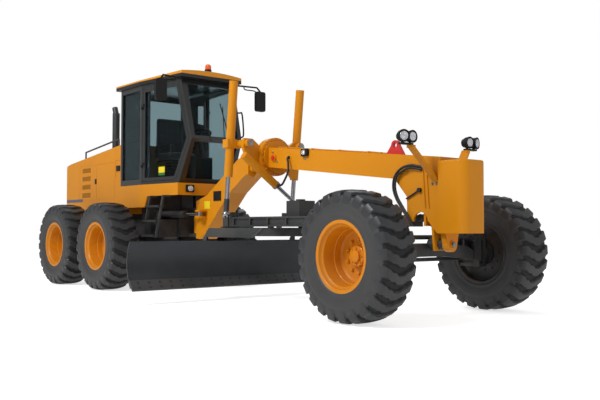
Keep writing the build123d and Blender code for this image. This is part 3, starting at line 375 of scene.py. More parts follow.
def make_repeat_tree():
    tree = bpy.data.node_groups.new("repeat_mesh", "GeometryNodeTree")
    for name, kind in (("Geometry", "Geometry"), ("Count", "Int"), ("Step", "Vector"), ("Turn", "Vector"),
                       ("Material", "Material")):
        tree.interface.new_socket(name, in_out="INPUT", socket_type=f"NodeSocket{kind}")
    tree.interface.new_socket("Geometry", in_out="OUTPUT", socket_type="NodeSocketGeometry")
    start, end = tree.nodes.new("NodeGroupInput"), tree.nodes.new("NodeGroupOutput")
    index = tree.nodes.new("GeometryNodeInputIndex")
    scaled = {}
    for name in ("Step", "Turn"):
        scaled[name] = node(tree, "ShaderNodeVectorMath", operation="SCALE")
        link(tree, start.outputs[name], scaled[name].inputs[0])
        link(tree, index.outputs[0], scaled[name].inputs["Scale"])
    points = tree.nodes.new("GeometryNodePoints")
    link(tree, start.outputs["Count"], points.inputs["Count"])
    link(tree, scaled["Step"].outputs[0], points.inputs["Position"])
    copies = tree.nodes.new("GeometryNodeInstanceOnPoints")
    link(tree, points.outputs[0], copies.inputs["Points"])
    link(tree, start.outputs["Geometry"], copies.inputs["Instance"])
    link(tree, scaled["Turn"].outputs[0], copies.inputs["Rotation"])
    real = tree.nodes.new("GeometryNodeRealizeInstances")
    link(tree, copies.outputs[0], real.inputs[0])
    painted = tree.nodes.new("GeometryNodeSetMaterial")
    link(tree, real.outputs[0], painted.inputs["Geometry"])
    link(tree, start.outputs["Material"], painted.inputs["Material"])
    link(tree, painted.outputs[0], end.inputs[0])
    return tree


repeat_tree = make_repeat_tree()
repeat_sockets = {item.name: item.identifier for item in repeat_tree.interface.items_tree
                  if item.item_type == "SOCKET" and item.in_out == "INPUT"}


def added(name, data):
    """A new object in the scene."""
    made = bpy.data.objects.new(name, data)
    scene.collection.objects.link(made)
    return made


def repeated(mesh, count, material, step=(0, 0, 0), turn=(0, 0, 0)):
    """The mesh copied count times, each copy moved by one step and turned by one turn more than the last."""
    maker = added("repeat_maker", mesh)
    modifier = maker.modifiers.new("repeat", "NODES")
    modifier.node_group = repeat_tree
    for name, value in (("Count", count), ("Step", step), ("Turn", turn), ("Material", material)):
        modifier[repeat_sockets[name]] = value
    maker.update_tag()
    depsgraph = bpy.context.evaluated_depsgraph_get()
    made = bpy.data.meshes.new_from_object(maker.evaluated_get(depsgraph))
    bpy.data.objects.remove(maker)
    return made


# Mesh helpers. Lengths are in metres

small_segments = 40
# Turns a shape that was spun round Y so that it stands up Z
upright = Matrix.Rotation(pi / 2, 4, "X")


def piece(name, mesh, body, *materials):
    """A finished piece at the origin, riding on a body; a list of meshes is joined into one."""
    if isinstance(mesh, list):
        mesh = joined(name, mesh)
    made = added(name, mesh)
    for material in materials:
        mesh.materials.append(material)
    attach(made, body)
    return made


def smooth(mesh, angle):
    """Smooth shading, with edges sharper than the angle kept hard."""
    form = bmesh.new()
    form.from_mesh(mesh)
    for face in form.faces:
        face.smooth = True
    for edge in form.edges:
        if len(edge.link_faces) == 2 and edge.calc_face_angle(0) > radians(angle):
            edge.smooth = False
    form.to_mesh(mesh)
    form.free()
    return mesh


def moved(mesh, matrix):
    """A copy of the mesh, carried by the matrix."""
    copy = mesh.copy()
    copy.transform(matrix)
    return copy


def meshed(name, form):
    made = bpy.data.meshes.new(name)
    form.to_mesh(made)
    form.free()
    return made


def closed(name, form):
    """The form as a mesh whose faces look outwards."""
    bmesh.ops.recalc_face_normals(form, faces=form.faces)
    return meshed(name, form)


def joined(name, meshes):
    """Several meshes in one; a mesh's faces keep their material numbers."""
    form = bmesh.new()
    for mesh in meshes:
        form.from_mesh(mesh)
    return meshed(name, form)


def numbered(mesh, number):
    """The mesh with all its faces on one material number."""
    for polygon in mesh.polygons:
        polygon.material_index = number
    return mesh


def ring(form, count, place):
    """Vertices at even steps of a full turn; place makes a point of a step's cosine and sine."""
    steps = [2 * pi * k / count for k in range(count)]
    return [form.verts.new(place(cos(angle), sin(angle))) for angle in steps]


def bridge(form, low, high, around=True):
    """Faces between two rings of vertices, or between two open rows."""
    count = len(low)
    for k in range(count if around else count - 1):
        n = (k + 1) % count
        form.faces.new([low[k], low[n], high[n], high[k]])


def spun(name, profile, segments, close=False, material_of=None):
    """A profile of (along Y, radius) turned round the Y axis; material_of gives a strip's material number."""
    form = bmesh.new()
    rings = []
    for along, radius in profile:
        if radius < 1e-6:
            rings.append([form.verts.new((0, along, 0))])
        else:
            rings.append(ring(form, segments, lambda c, s: (radius * s, along, radius * c)))
    pairs = list(zip(rings, rings[1:]))
    if close:
        pairs.append((rings[-1], rings[0]))
    for number, (first, second) in enumerate(pairs):
        for k in range(segments):
            n = (k + 1) % segments
            corners = []
            # A ring on the axis is one point, which is taken once
            for points, place in ((first, k), (first, n), (second, n), (second, k)):
                corner = points[place % len(points)]
                if corner not in corners:
                    corners.append(corner)
            face = form.faces.new(corners)
            if material_of:
                face.material_index = material_of(number)
    return closed(name, form)


def hex_bolt(width, height):
    """A hexagonal head with a chamfered top and a washer, its base at the origin and its top up Z."""
    washer_r, corner_r, top_r = width * 0.72, width * 0.577, width * 0.47
    washer_top, head_low, chamfer = height * 0.18, height * 0.15, height * 0.85
    form = bmesh.new()
    washer = [ring(form, 12, lambda c, s: (washer_r * c, washer_r * s, z)) for z in (0, washer_top)]
    bridge(form, *washer)
    form.faces.new(washer[-1])
    head = [ring(form, 6, lambda c, s: (radius * c, radius * s, z))
            for radius, z in ((corner_r, head_low), (corner_r, chamfer), (top_r, height))]
    for low, high in zip(head, head[1:]):
        bridge(form, low, high)
    form.faces.new(head[-1])
    return closed("hex_bolt", form)


def facing(place, direction):
    """The matrix that carries the origin to a place and up Z to a direction."""
    return Matrix.Translation(place) @ Vector(direction).to_track_quat("Z", "Y").to_matrix().to_4x4()


def curve_points(points, steps):
    """A Catmull-Rom line through the points."""
    line = [Vector(p) for p in points]
    line = [2 * line[0] - line[1]] + line + [2 * line[-1] - line[-2]]
    out = []
    for a, b, c, d in zip(line, line[1:], line[2:], line[3:]):
        for k in range(steps):
            t = k / steps
            out.append(0.5 * (2 * b + (c - a) * t + (2 * a - 5 * b + 4 * c - d) * t**2
                              + (3 * b - a - 3 * c + d) * t**3))
    out.append(line[-2])
    return out


def tube(name, points, radius, around=12, steps=6, collars=()):
    """A round tube through the points; a collar is (share of the length, radius)."""
    line = curve_points(points, steps) if steps > 1 else [Vector(p) for p in points]
    form = bmesh.new()
    rings = []
    up = Vector((0, 0, 1))
    last = len(line) - 1
    collar_reach = 0.5 / last + 0.02
    for place, centre in enumerate(line):
        ahead = (line[min(place + 1, last)] - line[max(place - 1, 0)]).normalized()
        across = ahead.cross(up)
        if across.length < 0.1:
            across = ahead.cross(Vector((1, 0, 0)))
        across.normalize()
        up = across.cross(ahead).normalized()
        width = radius
        for share, wide in collars:
            if abs(place / last - share) < collar_reach:
                width = wide
        rings.append(ring(form, around, lambda c, s: centre + width * (across * c + up * s)))
    for low, high in zip(rings, rings[1:]):
        bridge(form, low, high)
    form.faces.new(rings[0])
    form.faces.new(rings[-1])
    return smooth(closed(name, form), 50)


def rod_tube(name, start, end, radius, around=12):
    """A straight round bar between two points."""
    return tube(name, [start, end], radius, around, steps=1)


def rect(low_a, low_b, high_a, high_b):
    """A rectangle's corners, as slab takes them."""
    return [(low_a, low_b), (high_a, low_b), (high_a, high_b), (low_a, high_b)]


def slab(name, outline, axis, low, high, bevel):
    """A flat outline made solid between two values along an axis, with rounded edges."""
    order = {"x": (2, 0, 1), "y": (0, 2, 1), "z": (0, 1, 2)}[axis]
    form = bmesh.new()
    base, top = ([form.verts.new([(a, b, level)[k] for k in order]) for a, b in outline]
                 for level in (low, high))
    form.faces.new(base)
    form.faces.new(top)
    bridge(form, base, top)
    bmesh.ops.recalc_face_normals(form, faces=form.faces)
    if bevel:
        bmesh.ops.bevel(form, geom=list(form.edges), offset=bevel, segments=2, affect="EDGES", profile=0.6)
    return smooth(meshed(name, form), 40)


def mirrored(points, side):
    """Points given for the left side, on either side."""
    return [(x, side * y, z) for x, y, z in points]


def span(side, first, second):
    """Two distances from the middle as a low and a high Y on either side."""
    return sorted((side * first, side * second))


# Wheels

wheel_y = 1.078
axle_z = 0.660
lug_count = 24
lug_base_r = 0.622
lug_mean_r = 0.645
tip_r = 0.6595
wheel_segments = 96


def tyre_lug():
    """One traction bar across the tread at the wheel's top, stepped like a stair on each side."""
    foot, chamfer, least_height = 0.010, 0.006, 0.012
    shoulder_y, shoulder_drop = 0.2, 0.03
    # Y, circumferential offset, half width, tip radius
    half = [(0.000, 0.040, 0.044, tip_r), (0.040, 0.036, 0.045, tip_r),
            (0.078, 0.006, 0.046, tip_r - 0.001), (0.125, 0.000, 0.047, tip_r - 0.004),
            (0.160, -0.030, 0.049, tip_r - 0.009), (0.196, -0.040, 0.052, tip_r - 0.018),
            (0.214, -0.042, 0.052, 0.618), (0.2215, -0.043, 0.046, 0.572)]
    rows = [(-y, *rest) for y, *rest in reversed(half[1:])] + half
    form = bmesh.new()
    sections = []
    for y, offset, width, tip in rows:
        low = min(lug_base_r, tip - least_height) - (shoulder_drop if abs(y) > shoulder_y else 0)
        flank = [(width + foot, low), (width, tip - chamfer), (width - chamfer, tip)]
        section = []
        for across, radius in flank + [(-across, radius) for across, radius in reversed(flank)]:
            angle = (offset + across) / lug_mean_r
            section.append(form.verts.new((radius * sin(angle), y, radius * cos(angle))))
        sections.append(section)
    for low, high in zip(sections, sections[1:]):
        bridge(form, low, high, around=False)
    form.faces.new(sections[0])
    form.faces.new(sections[-1])
    return closed("tyre_lug", form)


def tyre_mesh():
    """The carcass with its lugs. Material 1 is on the lugs and 2 on the ground between them, which is the
    same rubber painted darker as painted shade between the lugs.
    """
    # Y, radius
    half = [(0.176, 0.346), (0.190, 0.352), (0.204, 0.372), (0.207, 0.384), (0.204, 0.392), (0.213, 0.420),
            (0.2205, 0.455), (0.2225, 0.492), (0.222, 0.500), (0.2205, 0.503), (0.220, 0.530),
            (0.215, 0.565), (0.205, 0.596), (0.188, 0.616), (0.150, 0.624), (0.080, 0.628), (0.0, 0.629)]
    profile = half + [(-y, r) for y, r in reversed(half[:-1])]
    first_tread = 12
    tread_strips = range(first_tread, len(profile) - 1 - first_tread)
    carcass = spun("tyre_carcass", profile, wheel_segments, close=True,
                   material_of=lambda strip: 2 if strip in tread_strips else 0)
    lugs = repeated(smooth(tyre_lug(), 30), lug_count, turn=(0, 2 * pi / lug_count, 0), material=tread_rubber)
    return joined("tyre", [smooth(carcass, 50), numbered(lugs, 1)])


def rim_mesh():
    """The outer face is towards +Y. Material 1 is the dark inner side."""
    # Distance outwards from the middle of the wheel, radius
    outer = [(0.008, 0), (0.008, 0.050), (0.003, 0.060), (-0.020, 0.062), (-0.020, 0.094), (-0.027, 0.104),
             (-0.068, 0.108), (-0.070, 0.116), (-0.070, 0.226), (-0.066, 0.244), (-0.050, 0.262),
             (0.020, 0.272), (0.026, 0.279), (0.110, 0.288), (0.150, 0.296), (0.160, 0.309), (0.176, 0.319),
             (0.190, 0.324)]
    outer_lip = [(0.195, 0.331), (0.1965, 0.345), (0.196, 0.360), (0.191, 0.366), (0.184, 0.365),
                 (0.181, 0.356), (0.180, 0.347)]
    inner_lip = [(-along, radius) for along, radius in reversed(outer_lip)]
    inner = [(-0.188, 0.324), (-0.110, 0.320), (-0.100, 0.306), (-0.094, 0.280), (-0.094, 0.148),
             (-0.098, 0.140), (-0.130, 0.140), (-0.130, 0)]
    turn_over = len(outer + outer_lip)
    dished = spun("rim_dish", outer + outer_lip + inner_lip + inner, wheel_segments,
                  material_of=lambda strip: 1 if strip >= turn_over else 0)
    # Head width, height, distance outwards, radius of the ring, way, count, material number and material
    bolts = [(0.032, 0.024, -0.070, 0.168, 1, 10, 0, rim_paint),
             (0.016, 0.010, -0.020, 0.079, 1, 8, 0, rim_paint),
             (0.018, 0.010, -0.094, 0.200, -1, 12, 1, rim_dark)]
    rings = []
    for width, height, along, radius, way, count, number, material in bolts:
        bolt = moved(hex_bolt(width, height), facing((0, along, radius), (0, way, 0)))
        rings.append(numbered(repeated(bolt, count, turn=(0, 2 * pi / count, 0), material=material), number))
    return joined("rim", [smooth(dished, 28), *rings])


def make_wheels():
    """The dressed tyre and rim of each wheel, in place of the plain ones."""
    tyre, rim = tyre_mesh(), rim_mesh()
    for row, x in wheel_rows.items():
        for name, side in sides.items():
            place = Matrix.Translation((x, side * wheel_y, axle_z))
            body = f"wheel_{row}_{name}"
            shown = piece(f"tread_{row}_{name}", moved(tyre, place), body,
                          tyre_rubber, tread_rubber, groove_rubber_painted_shade)
            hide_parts(f"tyre_{row}_{name}")
            turned = place if side > 0 else place @ Matrix.Rotation(pi, 4, "Z")
            shown = piece(f"dish_{row}_{name}", moved(rim, turned), body, rim_paint, rim_dark)
            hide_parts(f"rim_{row}_{name}")


# Bolts

def blade_face(height):
    """Place and outward direction on the blade's curved front, this far up from its cutting edge."""
    low, top, depth = Vector((0.926, 0, 0.172)), Vector((0.861, 0, 0.763)), 0.100
    chord = (top - low).length
    radius = (chord**2 / 4 + depth**2) / (2 * depth)
    out = Vector((top.z - low.z, 0, low.x - top.x)).normalized()
    centre = (low + top) / 2 + out * (radius - depth)
    start = atan2(low.z - centre.z, low.x - centre.x)
    angle = start - height / radius
    spoke = Vector((cos(angle), 0, sin(angle)))
    return centre + spoke * radius, -spoke


def make_blade_bolts():
    """Two rows along the cutting edge and four bolts on each end bit."""
    count, pitch, first_y, end_y = 26, 0.150, -1.875, 1.955
    edge_front = 0.0203
    head = hex_bolt(0.022, 0.010)
    rows = []
    for height in (0.045, 0.115):
        place, out = blade_face(height)
        first = moved(head, facing(place + out * edge_front + Vector((0, first_y, 0)), out))
        rows.append(repeated(first, count, step=(0, pitch, 0), material=bolt_steel))
    for y in (-end_y, end_y):
        for height in (0.20, 0.29, 0.38, 0.47):
            place, out = blade_face(height)
            rows.append(moved(head, facing(place + Vector((0, y, 0)), out)))
    piece("blade_bolts", rows, "blade", edge_bolt)


def make_saddle_fittings():
    """The saddle's ring of bolts, the discs on its pins and the collar on the side-shift barrel."""
    face_x, ring_z, ring_r, count = 1.184, 1.885, 0.236, 20
    beam_half, beam_low, beam_top = 0.165, 1.74, 2.01
    bolts = []
    for place in range(count):
        angle = 2 * pi * (place + 0.5) / count
        y, z = ring_r * cos(angle), ring_z + ring_r * sin(angle)
        # None where the beam runs through
        if abs(y) > beam_half or not beam_low < z < beam_top:
            bolts.append(moved(hex_bolt(0.022, 0.012), facing((face_x, y, z), (1, 0, 0))))
    piece("saddle_bolts", bolts, "front", paint)
    profile = [(0, 0.046), (0.006, 0.046), (0.008, 0.038), (0.005, 0.030), (0.005, 0)]
    disc = smooth(spun("pin_disc", profile, 32), 40)
    disc.transform(upright)
    pins = [moved(disc, facing((face_x, side * 0.430, 2.045), (1, 0, 0))) for side in sides.values()]
    piece("saddle_pins", pins, "front", bolt_steel)
    collar = rod_tube("shift_collar", (1.245, -0.068, 1.511), (1.245, -0.041, 1.492), 0.056, around=24)
    piece("shift_collar", collar, "shift_barrel", bolt_steel)


def make_frame_bolts():
    """Bolts at the lamp arms' feet and on the beam's sides, and the one on the front axle's pin."""
    arm_bolt, beam_bolt, pin_bolt = (0.024, 0.014), (0.022, 0.012), (0.046, 0.016)
    places = [(arm_bolt, 4.085, 1.405), (arm_bolt, 4.085, 1.445), (arm_bolt, 4.03, 1.405),
              (beam_bolt, 1.30, 1.93), (beam_bolt, 1.39, 1.80), (beam_bolt, 1.96, 1.80)]
    bolts = [moved(hex_bolt(*size), facing((x, side * beam_side, z), (0, side, 0)))
             for side in sides.values() for size, x, z in places]
    bolts.append(moved(hex_bolt(*pin_bolt), facing((4.186, 0, 0.767), (1, 0, 0))))
    piece("frame_bolts", bolts, "front", bolt_steel)


# Lamps

def lens_mesh(radius):
    """A ribbed lens with its reflector's rings, facing up Z."""
    # Height, share of the radius
    rings = [(0.0, 1), (0.006, 0.97), (0.009, 0.9), (0.006, 0.82), (0.008, 0.62), (0.005, 0.5), (0.009, 0.3),
             (0.012, 0.16), (0.012, 0)]
    lens = spun("lens", [(height, radius * share) for height, share in rings], small_segments)
    lens.transform(upright)
    return smooth(lens, 40)


def make_lamps():
    """Lenses of the headlamps, the beam's side lamps and the deck's lamps, and the cases of the last two."""
    head_x, head_z, head_r, bowl = 4.000, 1.875, 0.048, 0.0403
    side_x, side_z, side_r = 1.975, 1.877, 0.033
    deck_y, deck_z, deck_r = 0.321, 1.515, 0.042
    lenses, cases = [], []
    for side in sides.values():
        for y, turn in ((0.460, 0), (0.575, 18)):
            ahead = Vector((cos(radians(turn)), side * sin(radians(turn)), 0))
            place = Vector((head_x, side * y, head_z)) + ahead * bowl
            lenses.append(moved(lens_mesh(head_r), facing(place, ahead)))
        lenses.append(moved(lens_mesh(side_r), facing((side_x, side * 0.1922, side_z), (0, side, 0))))
        outline = rect(side_x - 0.062, side_z - 0.049, side_x + 0.062, side_z + 0.049)
        cases.append(slab("beam_case", outline, "y", *span(side, beam_side - 0.001, 0.189), 0.012))
    piece("lamp_lenses", lenses, "front", lens_clear)
    piece("beam_lamp_cases", cases, "front", black_plastic)
    lenses, cases = [], []
    for side in sides.values():
        y = side * deck_y
        lenses.append(moved(lens_mesh(deck_r), facing((-0.4558, y, deck_z), (1, 0, 0))))
        outline = rect(y - 0.070, deck_z - 0.055, y + 0.070, deck_z + 0.055)
        cases.append(slab("deck_case", outline, "x", -0.489, -0.4575, 0.012))
    piece("deck_lamp_cases", cases, "chassis", black_plastic)
    piece("deck_lenses", lenses, "chassis", lens_clear)


def make_beacon():
    """The flashing lamp on the roof: a black foot under a ringed dome."""
    low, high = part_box("beacon")
    height = high.z - low.z
    dome_r, foot_r, foot_top, dome_round = 0.046, 0.052, 0.052, 0.036
    rings, pitch, groove, round_steps = 3, 0.015, 0.002, 8
    profile = [(0, 0), (0, foot_r), (foot_top - 0.006, foot_r), (foot_top, dome_r)]
    for place in range(rings):
        start = foot_top + 0.003 + place * pitch
        profile += [(start, dome_r), (start + 0.010, dome_r), (start + 0.012, dome_r - groove)]
    for step in range(round_steps + 1):
        angle = pi / 2 * step / round_steps
        profile.append((height - dome_round * (1 - sin(angle)),
                        dome_r - groove - dome_round * (1 - cos(angle))))
    profile.append((height, 0))
    foot_strips = 3
    dome = spun("beacon_dome", profile, small_segments,
                material_of=lambda strip: 1 if strip < foot_strips else 0)
    dome.transform(Matrix.Translation(((low.x + high.x) / 2, 0, low.z)) @ upright)
    shown = piece("beacon_dome", smooth(dome, 40), "chassis", beacon_lens, black_plastic)
    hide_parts("beacon")


# Rod ends

def make_rod_shade_bands():
    """Dark bands round the lower ends of the lift cylinders' rods: painted shade on the chrome."""
    top, eye, shade_band_r = Vector((0.993, 0.565, 2.866)), Vector((0.814, 0.557, 1.115)), 0.037
    ends = [eye.lerp(top, share) for share in (0.025, 0.118)]
    for name, side in sides.items():
        # A dark tube round the rod's lower end stands in for its shade: painted shade
        shade_band = rod_tube("rod_shade_band", *mirrored(ends, side), shade_band_r, around=24)
        piece(f"rod_shade_band_{name}", shade_band, f"lift_rod_{name}", dark_paint)


# Hoses and pipes

def make_nose_hoses():
    """Two hoses, a link and two brake pipes on each side of the nose's arch."""
    hose_r, fitting_r, pipe_r = 0.013, 0.019, 0.0055
    hoses, brake_pipes = [], []
    for side in sides.values():
        for shift, rise in ((0.0, 0.0), (0.028, -0.026)):
            route = [(3.900, 0.152, 1.585 + rise), (3.857, 0.178, 1.594 + rise), (3.750, 0.188, 1.610 + rise),
                     (3.620 + shift, 0.190, 1.580 + rise), (3.530 + shift, 0.190, 1.500),
                     (3.505 + shift, 0.188, 1.385), (3.540 + shift, 0.184, 1.270),
                     (3.625 + shift, 0.182, 1.150), (3.700 + shift, 0.180, 1.050),
                     (3.745 + shift, 0.165, 0.960)]
            hoses.append(tube("nose_hose", mirrored(route, side), hose_r,
                              collars=[(share, fitting_r) for share in (0.0, 0.04)]))
        for x in (3.905, 3.955):
            route = [(x, beam_side, 1.565), (x + 0.004, 0.157, 1.545), (x + 0.03, 0.157, 1.18),
                     (x + 0.036, beam_side, 1.16)]
            brake_pipes.append(tube("brake_pipe", mirrored(route, side), pipe_r, steps=3))
        link_rod = [(3.863, 0.166, 1.342), (3.676, 0.166, 1.254)]
        link_end = [(3.863, 0.149, 1.342), (3.863, 0.182, 1.342)]
        hoses.append(rod_tube("link_rod", *mirrored(link_rod, side), 0.009))
        hoses.append(rod_tube("link_end", *mirrored(link_end, side), 0.024))
    piece("nose_hoses", hoses, "front", hose_rubber)
    piece("brake_pipes", brake_pipes, "front", paint)


def beam_top(x):
    """The height of the beam's top, which falls towards the front."""
    return 2.035 - (x - 0.905) * 0.11


def make_beam_pipes():
    """Four pipes along the beam's top under clips."""
    pipe_r, lift, clip_x, clip_y = 0.008, 0.009, 0.02, 0.085
    parts = []
    for y in (-0.06, -0.035, 0.035, 0.06):
        ends = [(x, y, beam_top(x) + lift) for x in (1.30, 3.20)]
        parts.append(rod_tube("beam_pipe", *ends, pipe_r))
    for x in (1.5, 2.0, 2.5, 3.0):
        z = beam_top(x)
        outline = rect(x - clip_x, -clip_y, x + clip_x, clip_y)
        parts.append(slab("pipe_clip", outline, "z", z - 0.002, z + 0.019, 0.003))
    piece("beam_pipes", parts, "front", paint)


def make_shift_hose():
    """The hose from the beam to the side-shift cylinder."""
    hose_r, fitting_r = 0.014, 0.020
    loop = tube("shift_hose", [(1.640, -0.150, 1.840), (1.650, -0.185, 1.825), (1.690, -0.205, 1.740),
                               (1.680, -0.200, 1.650), (1.580, -0.170, 1.560), (1.440, -0.110, 1.500),
                               (1.305, -0.056, 1.497)],
                hose_r, collars=[(share, fitting_r) for share in (0.0, 0.05, 0.97, 1.0)])
    held = added("shift_hose", loop)
    loop.materials.append(hose_rubber)
    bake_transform(held)


# Cab trim

def make_cab_liners():
    """Liner panels on the cab's rear sides, each with a small window and a row of slats."""
    liner_y, liner_t, slat_t = 0.540, 0.012, 0.008
    slat_count, top_slat_z, slat_pitch, slat_height = 6, 2.50, 0.045, 0.022
    window = [(-1.636, 2.95), (-1.402, 2.92), (-1.400, 2.60), (-1.633, 2.66)]
    outer = [(-2.09, 3.06), (-1.30, 3.06), (-1.30, 1.68), (-2.09, 1.68)]
    liners = []
    for side in sides.values():
        # Four strips round the window
        for k in range(4):
            n = (k + 1) % 4
            strip = [outer[k], outer[n], window[n], window[k]]
            liners.append(slab("liner", strip, "y", *span(side, liner_y, liner_y - liner_t), 0.0))
        for place in range(slat_count):
            z = top_slat_z - place * slat_pitch
            liners.append(slab("slat", rect(-2.05, z, -1.56, z + slat_height), "y",
                               *span(side, liner_y, liner_y + slat_t), 0.003))
    piece("cab_liners", liners, "chassis", liner_grey)


def make_cab_bars():
    """The grab handle at the left door and the wipers."""
    bars = [tube("grab", [(-0.50, 0.470, 2.700), (-0.50, 0.580, 2.715), (-0.46, 0.600, 2.690),
                          (-0.42, 0.600, 2.400), (-0.42, 0.570, 2.330), (-0.42, 0.460, 2.325)], 0.012)]
    for side in sides.values():
        arm = [(-0.24, 0.10, 2.20), (-0.255, 0.13, 2.30), (-0.36, 0.17, 2.75)]
        blade = [(-0.262, 0.20, 2.36), (-0.372, 0.13, 2.80)]
        bars.append(tube("wiper_arm", mirrored(arm, side), 0.007))
        bars.append(rod_tube("wiper_blade", *mirrored(blade, side), 0.008))
    piece("cab_bars", bars, "chassis", black_plastic)


def make_door_grips():
    """A grip on each door, which moves with it."""
    route = [(-0.66, 0.505, 2.02), (-0.66, 0.535, 2.03), (-0.66, 0.535, 2.16), (-0.66, 0.505, 2.17)]
    for name, side in sides.items():
        grip = tube("door_grip", mirrored(route, side), 0.009)
        piece(f"door_grip_{name}", grip, f"door_{name}", black_plastic)


def make_mirror_fittings():
    """The mirrors' braces to the roof and their glasses."""
    route = [(-0.424, 0.605, 3.120), (-0.420, 0.630, 3.075), (-0.396, 0.790, 3.065), (-0.372, 0.880, 3.000)]
    braces = [tube("mirror_brace", mirrored(route, side), 0.009) for side in sides.values()]
    piece("mirror_braces", braces, "chassis", black_plastic)
    outlines = [rect(side * 0.805, 2.765, side * 0.955, 3.045) for side in sides.values()]
    glasses = [slab("mirror_glass", outline, "x", -0.404, -0.4003, 0.001) for outline in outlines]
    piece("mirror_glasses", glasses, "chassis", mirror_glass)


def make_hood_fittings():
    """Latch, lock and stripe on each side of the hood."""
    latches, stripes = [], []
    for side in sides.values():
        proud = span(side, 0.5442, 0.556)
        flat = span(side, 0.5495, 0.553)
        latches.append(slab("latch", rect(-2.39, 1.86, -2.26, 1.95), "y", *proud, 0.004))
        latches.append(slab("lock", rect(-3.195, 1.68, -3.125, 1.77), "y", *flat, 0.0015))
        stripes.append(slab("stripe", rect(-4.35, 1.385, -3.68, 1.435), "y", *flat, 0.0))
    piece("hood_latches", latches, "chassis", black_plastic)
    piece("hood_stripes", stripes, "chassis", stripe_blue)


# Blank plates

def make_plates():
    """Blank plates on the front frame and the right door's glass, covers, and the saddle's red caps."""
    plate_low = beam_side - 0.0005
    plate = slab("frame_plate", rect(-0.345, 1.215, -0.200, 1.325), "y", *span(-1, plate_low, 0.1535), 0.0)
    piece("frame_plate", plate, "front", plate_yellow)
    covers = [slab("cover", rect(-0.100, 1.325, 0.090, 1.465), "y", *span(side, plate_low, 0.160), 0.004)
              for side in sides.values()]
    piece("frame_covers", covers, "front", black_plastic)
    # The door's side runs inwards towards the front
    along = Vector((1.218, 0.160, 0)).normalized()
    outwards = Vector((along.y, -along.x, 0))
    place = Vector((-0.962, -0.5187, 1.80)) + outwards * 0.0004
    half, thickness = 0.075, 0.0012
    for name, low, high, colour in (("door_plate_yellow", -0.035, 0.055, plate_yellow),
                                    ("door_plate_green", -0.075, -0.038, plate_green)):
        label = slab(name, rect(-half, low, half, high), "z", 0, thickness, 0.0)
        piece(name, moved(label, facing(place, outwards)), "door_right", colour)
    cap = hex_bolt(0.050, 0.008)
    caps = [moved(cap, facing((1.334, side * 0.180, 1.852), (0, side, 0))) for side in sides.values()]
    piece("boss_caps", caps, "front", red_paint)


# Seat

def cushion(name, half, centre, crown_axis, channels):
    """A crowned pad: a rounded block whose front face swells, with sewn channels across it.

    A channel is the axis that it is placed along and its place there, from -1 to 1.
    """
    round_r, crown, channel_depth, channel_width, pull_in, rim = 0.045, 0.018, 0.007, 0.035, 0.006, 0.98
    form = bmesh.new()
    bmesh.ops.create_cube(form, size=2)
    bmesh.ops.subdivide_edges(form, edges=form.edges, cuts=30, use_grid_fill=True)
    others = [k for k in range(3) if k != crown_axis]
    for vert in form.verts:
        u = vert.co.copy()
        p = Vector([u[k] * half[k] for k in range(3)])
        inner = Vector([max(-(half[k] - round_r), min(half[k] - round_r, p[k])) for k in range(3)])
        off = p - inner
        if off.length > 1e-9:
            p = inner + off.normalized() * min(round_r, off.length)
        a, b = (u[axis] for axis in others)
        if u[crown_axis] > 0:
            p[crown_axis] += crown * (1 - a * a) * (1 - b * b)
            fade = (1 - abs(a) ** 8) * (1 - abs(b) ** 8)
            for axis, place in channels:
                p[crown_axis] -= channel_depth * exp(-((u[axis] - place) / channel_width) ** 2) * fade
        for axis in others:
            way = 1 if u[axis] > rim else -1 if u[axis] < -rim else 0
            p[axis] -= pull_in * (1 - u[crown_axis] ** 2) * way
        vert.co = p + Vector(centre)
    return smooth(closed(name, form), 60)


def make_seat():
    """The driver's seat: two sewn pads on a moulded shell, with armrests and a suspension base."""
    low = piece("seat_cushion", cushion("seat_cushion", (0.205, 0.235, 0.055), (-1.405, 0, 2.055), 2,
                                        [(1, -0.45), (1, 0.45), (0, 0.3)]), "chassis", seat_cloth)
    back = piece("seat_back", cushion("seat_back", (0.052, 0.225, 0.285), (-1.632, 0, 2.400), 0,
                                      [(1, -0.45), (1, 0.45), (2, 0.25), (2, -0.35)]), "chassis", seat_cloth)
    spine = [(-0.21, 2.05), (0.21, 2.05), (0.19, 2.66), (-0.19, 2.66)]
    shell = [
        slab("seat_pan", rect(-1.62, -0.225, -1.22, 0.225), "z", 1.975, 2.001, 0.008),
        slab("seat_spine", spine, "x", -1.699, -1.683, 0.006),
        slab("seat_base", rect(-1.55, -0.17, -1.31, 0.17), "z", 1.599, 1.64, 0.008),
    ]
    folds, fold_pitch, fold_height = 7, 0.048, 0.047
    for place in range(folds):
        z = 1.64 + place * fold_pitch
        shell.append(slab("bellows", rect(-1.53, -0.15, -1.33, 0.15), "z", z, z + fold_height, 0.018))
    for y in (-0.255, 0.255):
        shell.append(slab("armrest", rect(-1.59, y - 0.028, -1.26, y + 0.028), "z", 2.185, 2.235, 0.016))
        route = [(-1.60, y * 0.86, 2.12), (-1.60, y, 2.15), (-1.58, y, 2.20)]
        shell.append(tube("arm_bracket", route, 0.014))
    shown = piece("seat_shell", shell, "chassis", black_plastic)
    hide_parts("seat")


# Camera, floor and light

def make_camera():
    """The photograph's view, as solved from the tyres and the body's edges."""
    tilt, roll, turn = 90 + 1.98, -0.06, 50.45
    camera = added("camera", bpy.data.cameras.new("camera"))
    camera.location = (9.513, -6.470, 0.945)
    camera.rotation_euler = (radians(tilt), radians(roll), radians(turn))
    camera.data.lens = 47.44
    camera.data.sensor_width = 36
    camera.data.clip_end = 200
    scene.camera = camera


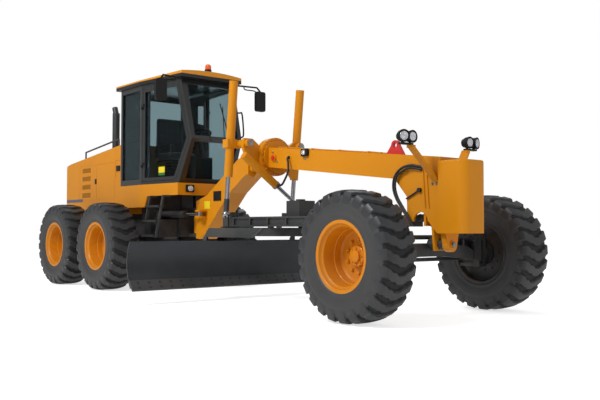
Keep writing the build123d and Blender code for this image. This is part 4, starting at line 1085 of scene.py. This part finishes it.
def make_floor():
    """A plain pale floor. It shows white to the camera and throws less light up than it shows."""
    half, level = 60, -0.001
    thrown, shown = 0.25, 0.66
    white, tree, shader = new_material("studio_floor")
    set_inputs(shader, Base_Color=(0.86, 0.86, 0.86, 1), Roughness=0.9, Emission_Color=(1, 1, 1, 1))
    path = node(tree, "ShaderNodeLightPath")
    glow = node(tree, "ShaderNodeMapRange", To_Min=thrown, To_Max=shown)
    link(tree, path.outputs["Is Camera Ray"], glow.inputs["Value"])
    link(tree, glow.outputs["Result"], shader.inputs["Emission Strength"])
    mesh = bpy.data.meshes.new("floor")
    mesh.from_pydata([(x, y, level) for x, y in rect(-half, -half, half, half)], [], [(0, 1, 2, 3)])
    floor = added("floor", mesh)
    mesh.materials.append(white)


def make_light():
    """A white world, dimmer as light than it shows to the camera, and three soft lamps."""
    lit, shown = 0.42, 1.0
    world = bpy.data.worlds.new("studio")
    scene.world = world
    world.use_nodes = True
    tree = world.node_tree
    soft = tree.nodes["Background"]
    plain = node(tree, "ShaderNodeBackground")
    for background, strength in ((soft, lit), (plain, shown)):
        set_inputs(background, Color=(1, 1, 1, 1), Strength=strength)
    path = node(tree, "ShaderNodeLightPath")
    choose = node(tree, "ShaderNodeMixShader")
    link(tree, path.outputs["Is Camera Ray"], choose.inputs[0])
    link(tree, soft.outputs[0], choose.inputs[1])
    link(tree, plain.outputs[0], choose.inputs[2])
    link(tree, choose.outputs[0], tree.nodes["World Output"].inputs["Surface"])
    aim = Vector((0, 0, 1))
    # Name, place, size, watts
    lamps = [
        ("key", (2, -10.5, 10), 4, 1190),
        ("fill", (12, 5, 6), 8, 90),
        ("back", (-9, 7, 9), 8, 300),
    ]
    for name, place, size, power in lamps:
        lamp = added(name, bpy.data.lights.new(name, "AREA"))
        lamp.location = place
        lamp.rotation_euler = (aim - Vector(place)).to_track_quat("-Z", "Y").to_euler()
        lamp.data.size = size
        lamp.data.energy = power


scene.view_settings.view_transform = "Standard"
dress_nodes()
make_wheels()
make_blade_bolts()
make_saddle_fittings()
make_frame_bolts()
make_lamps()
make_beacon()
make_rod_shade_bands()
make_nose_hoses()
make_beam_pipes()
make_shift_hose()
make_cab_liners()
make_cab_bars()
make_door_grips()
make_mirror_fittings()
make_hood_fittings()
make_plates()
make_seat()
make_camera()
make_floor()
make_light()
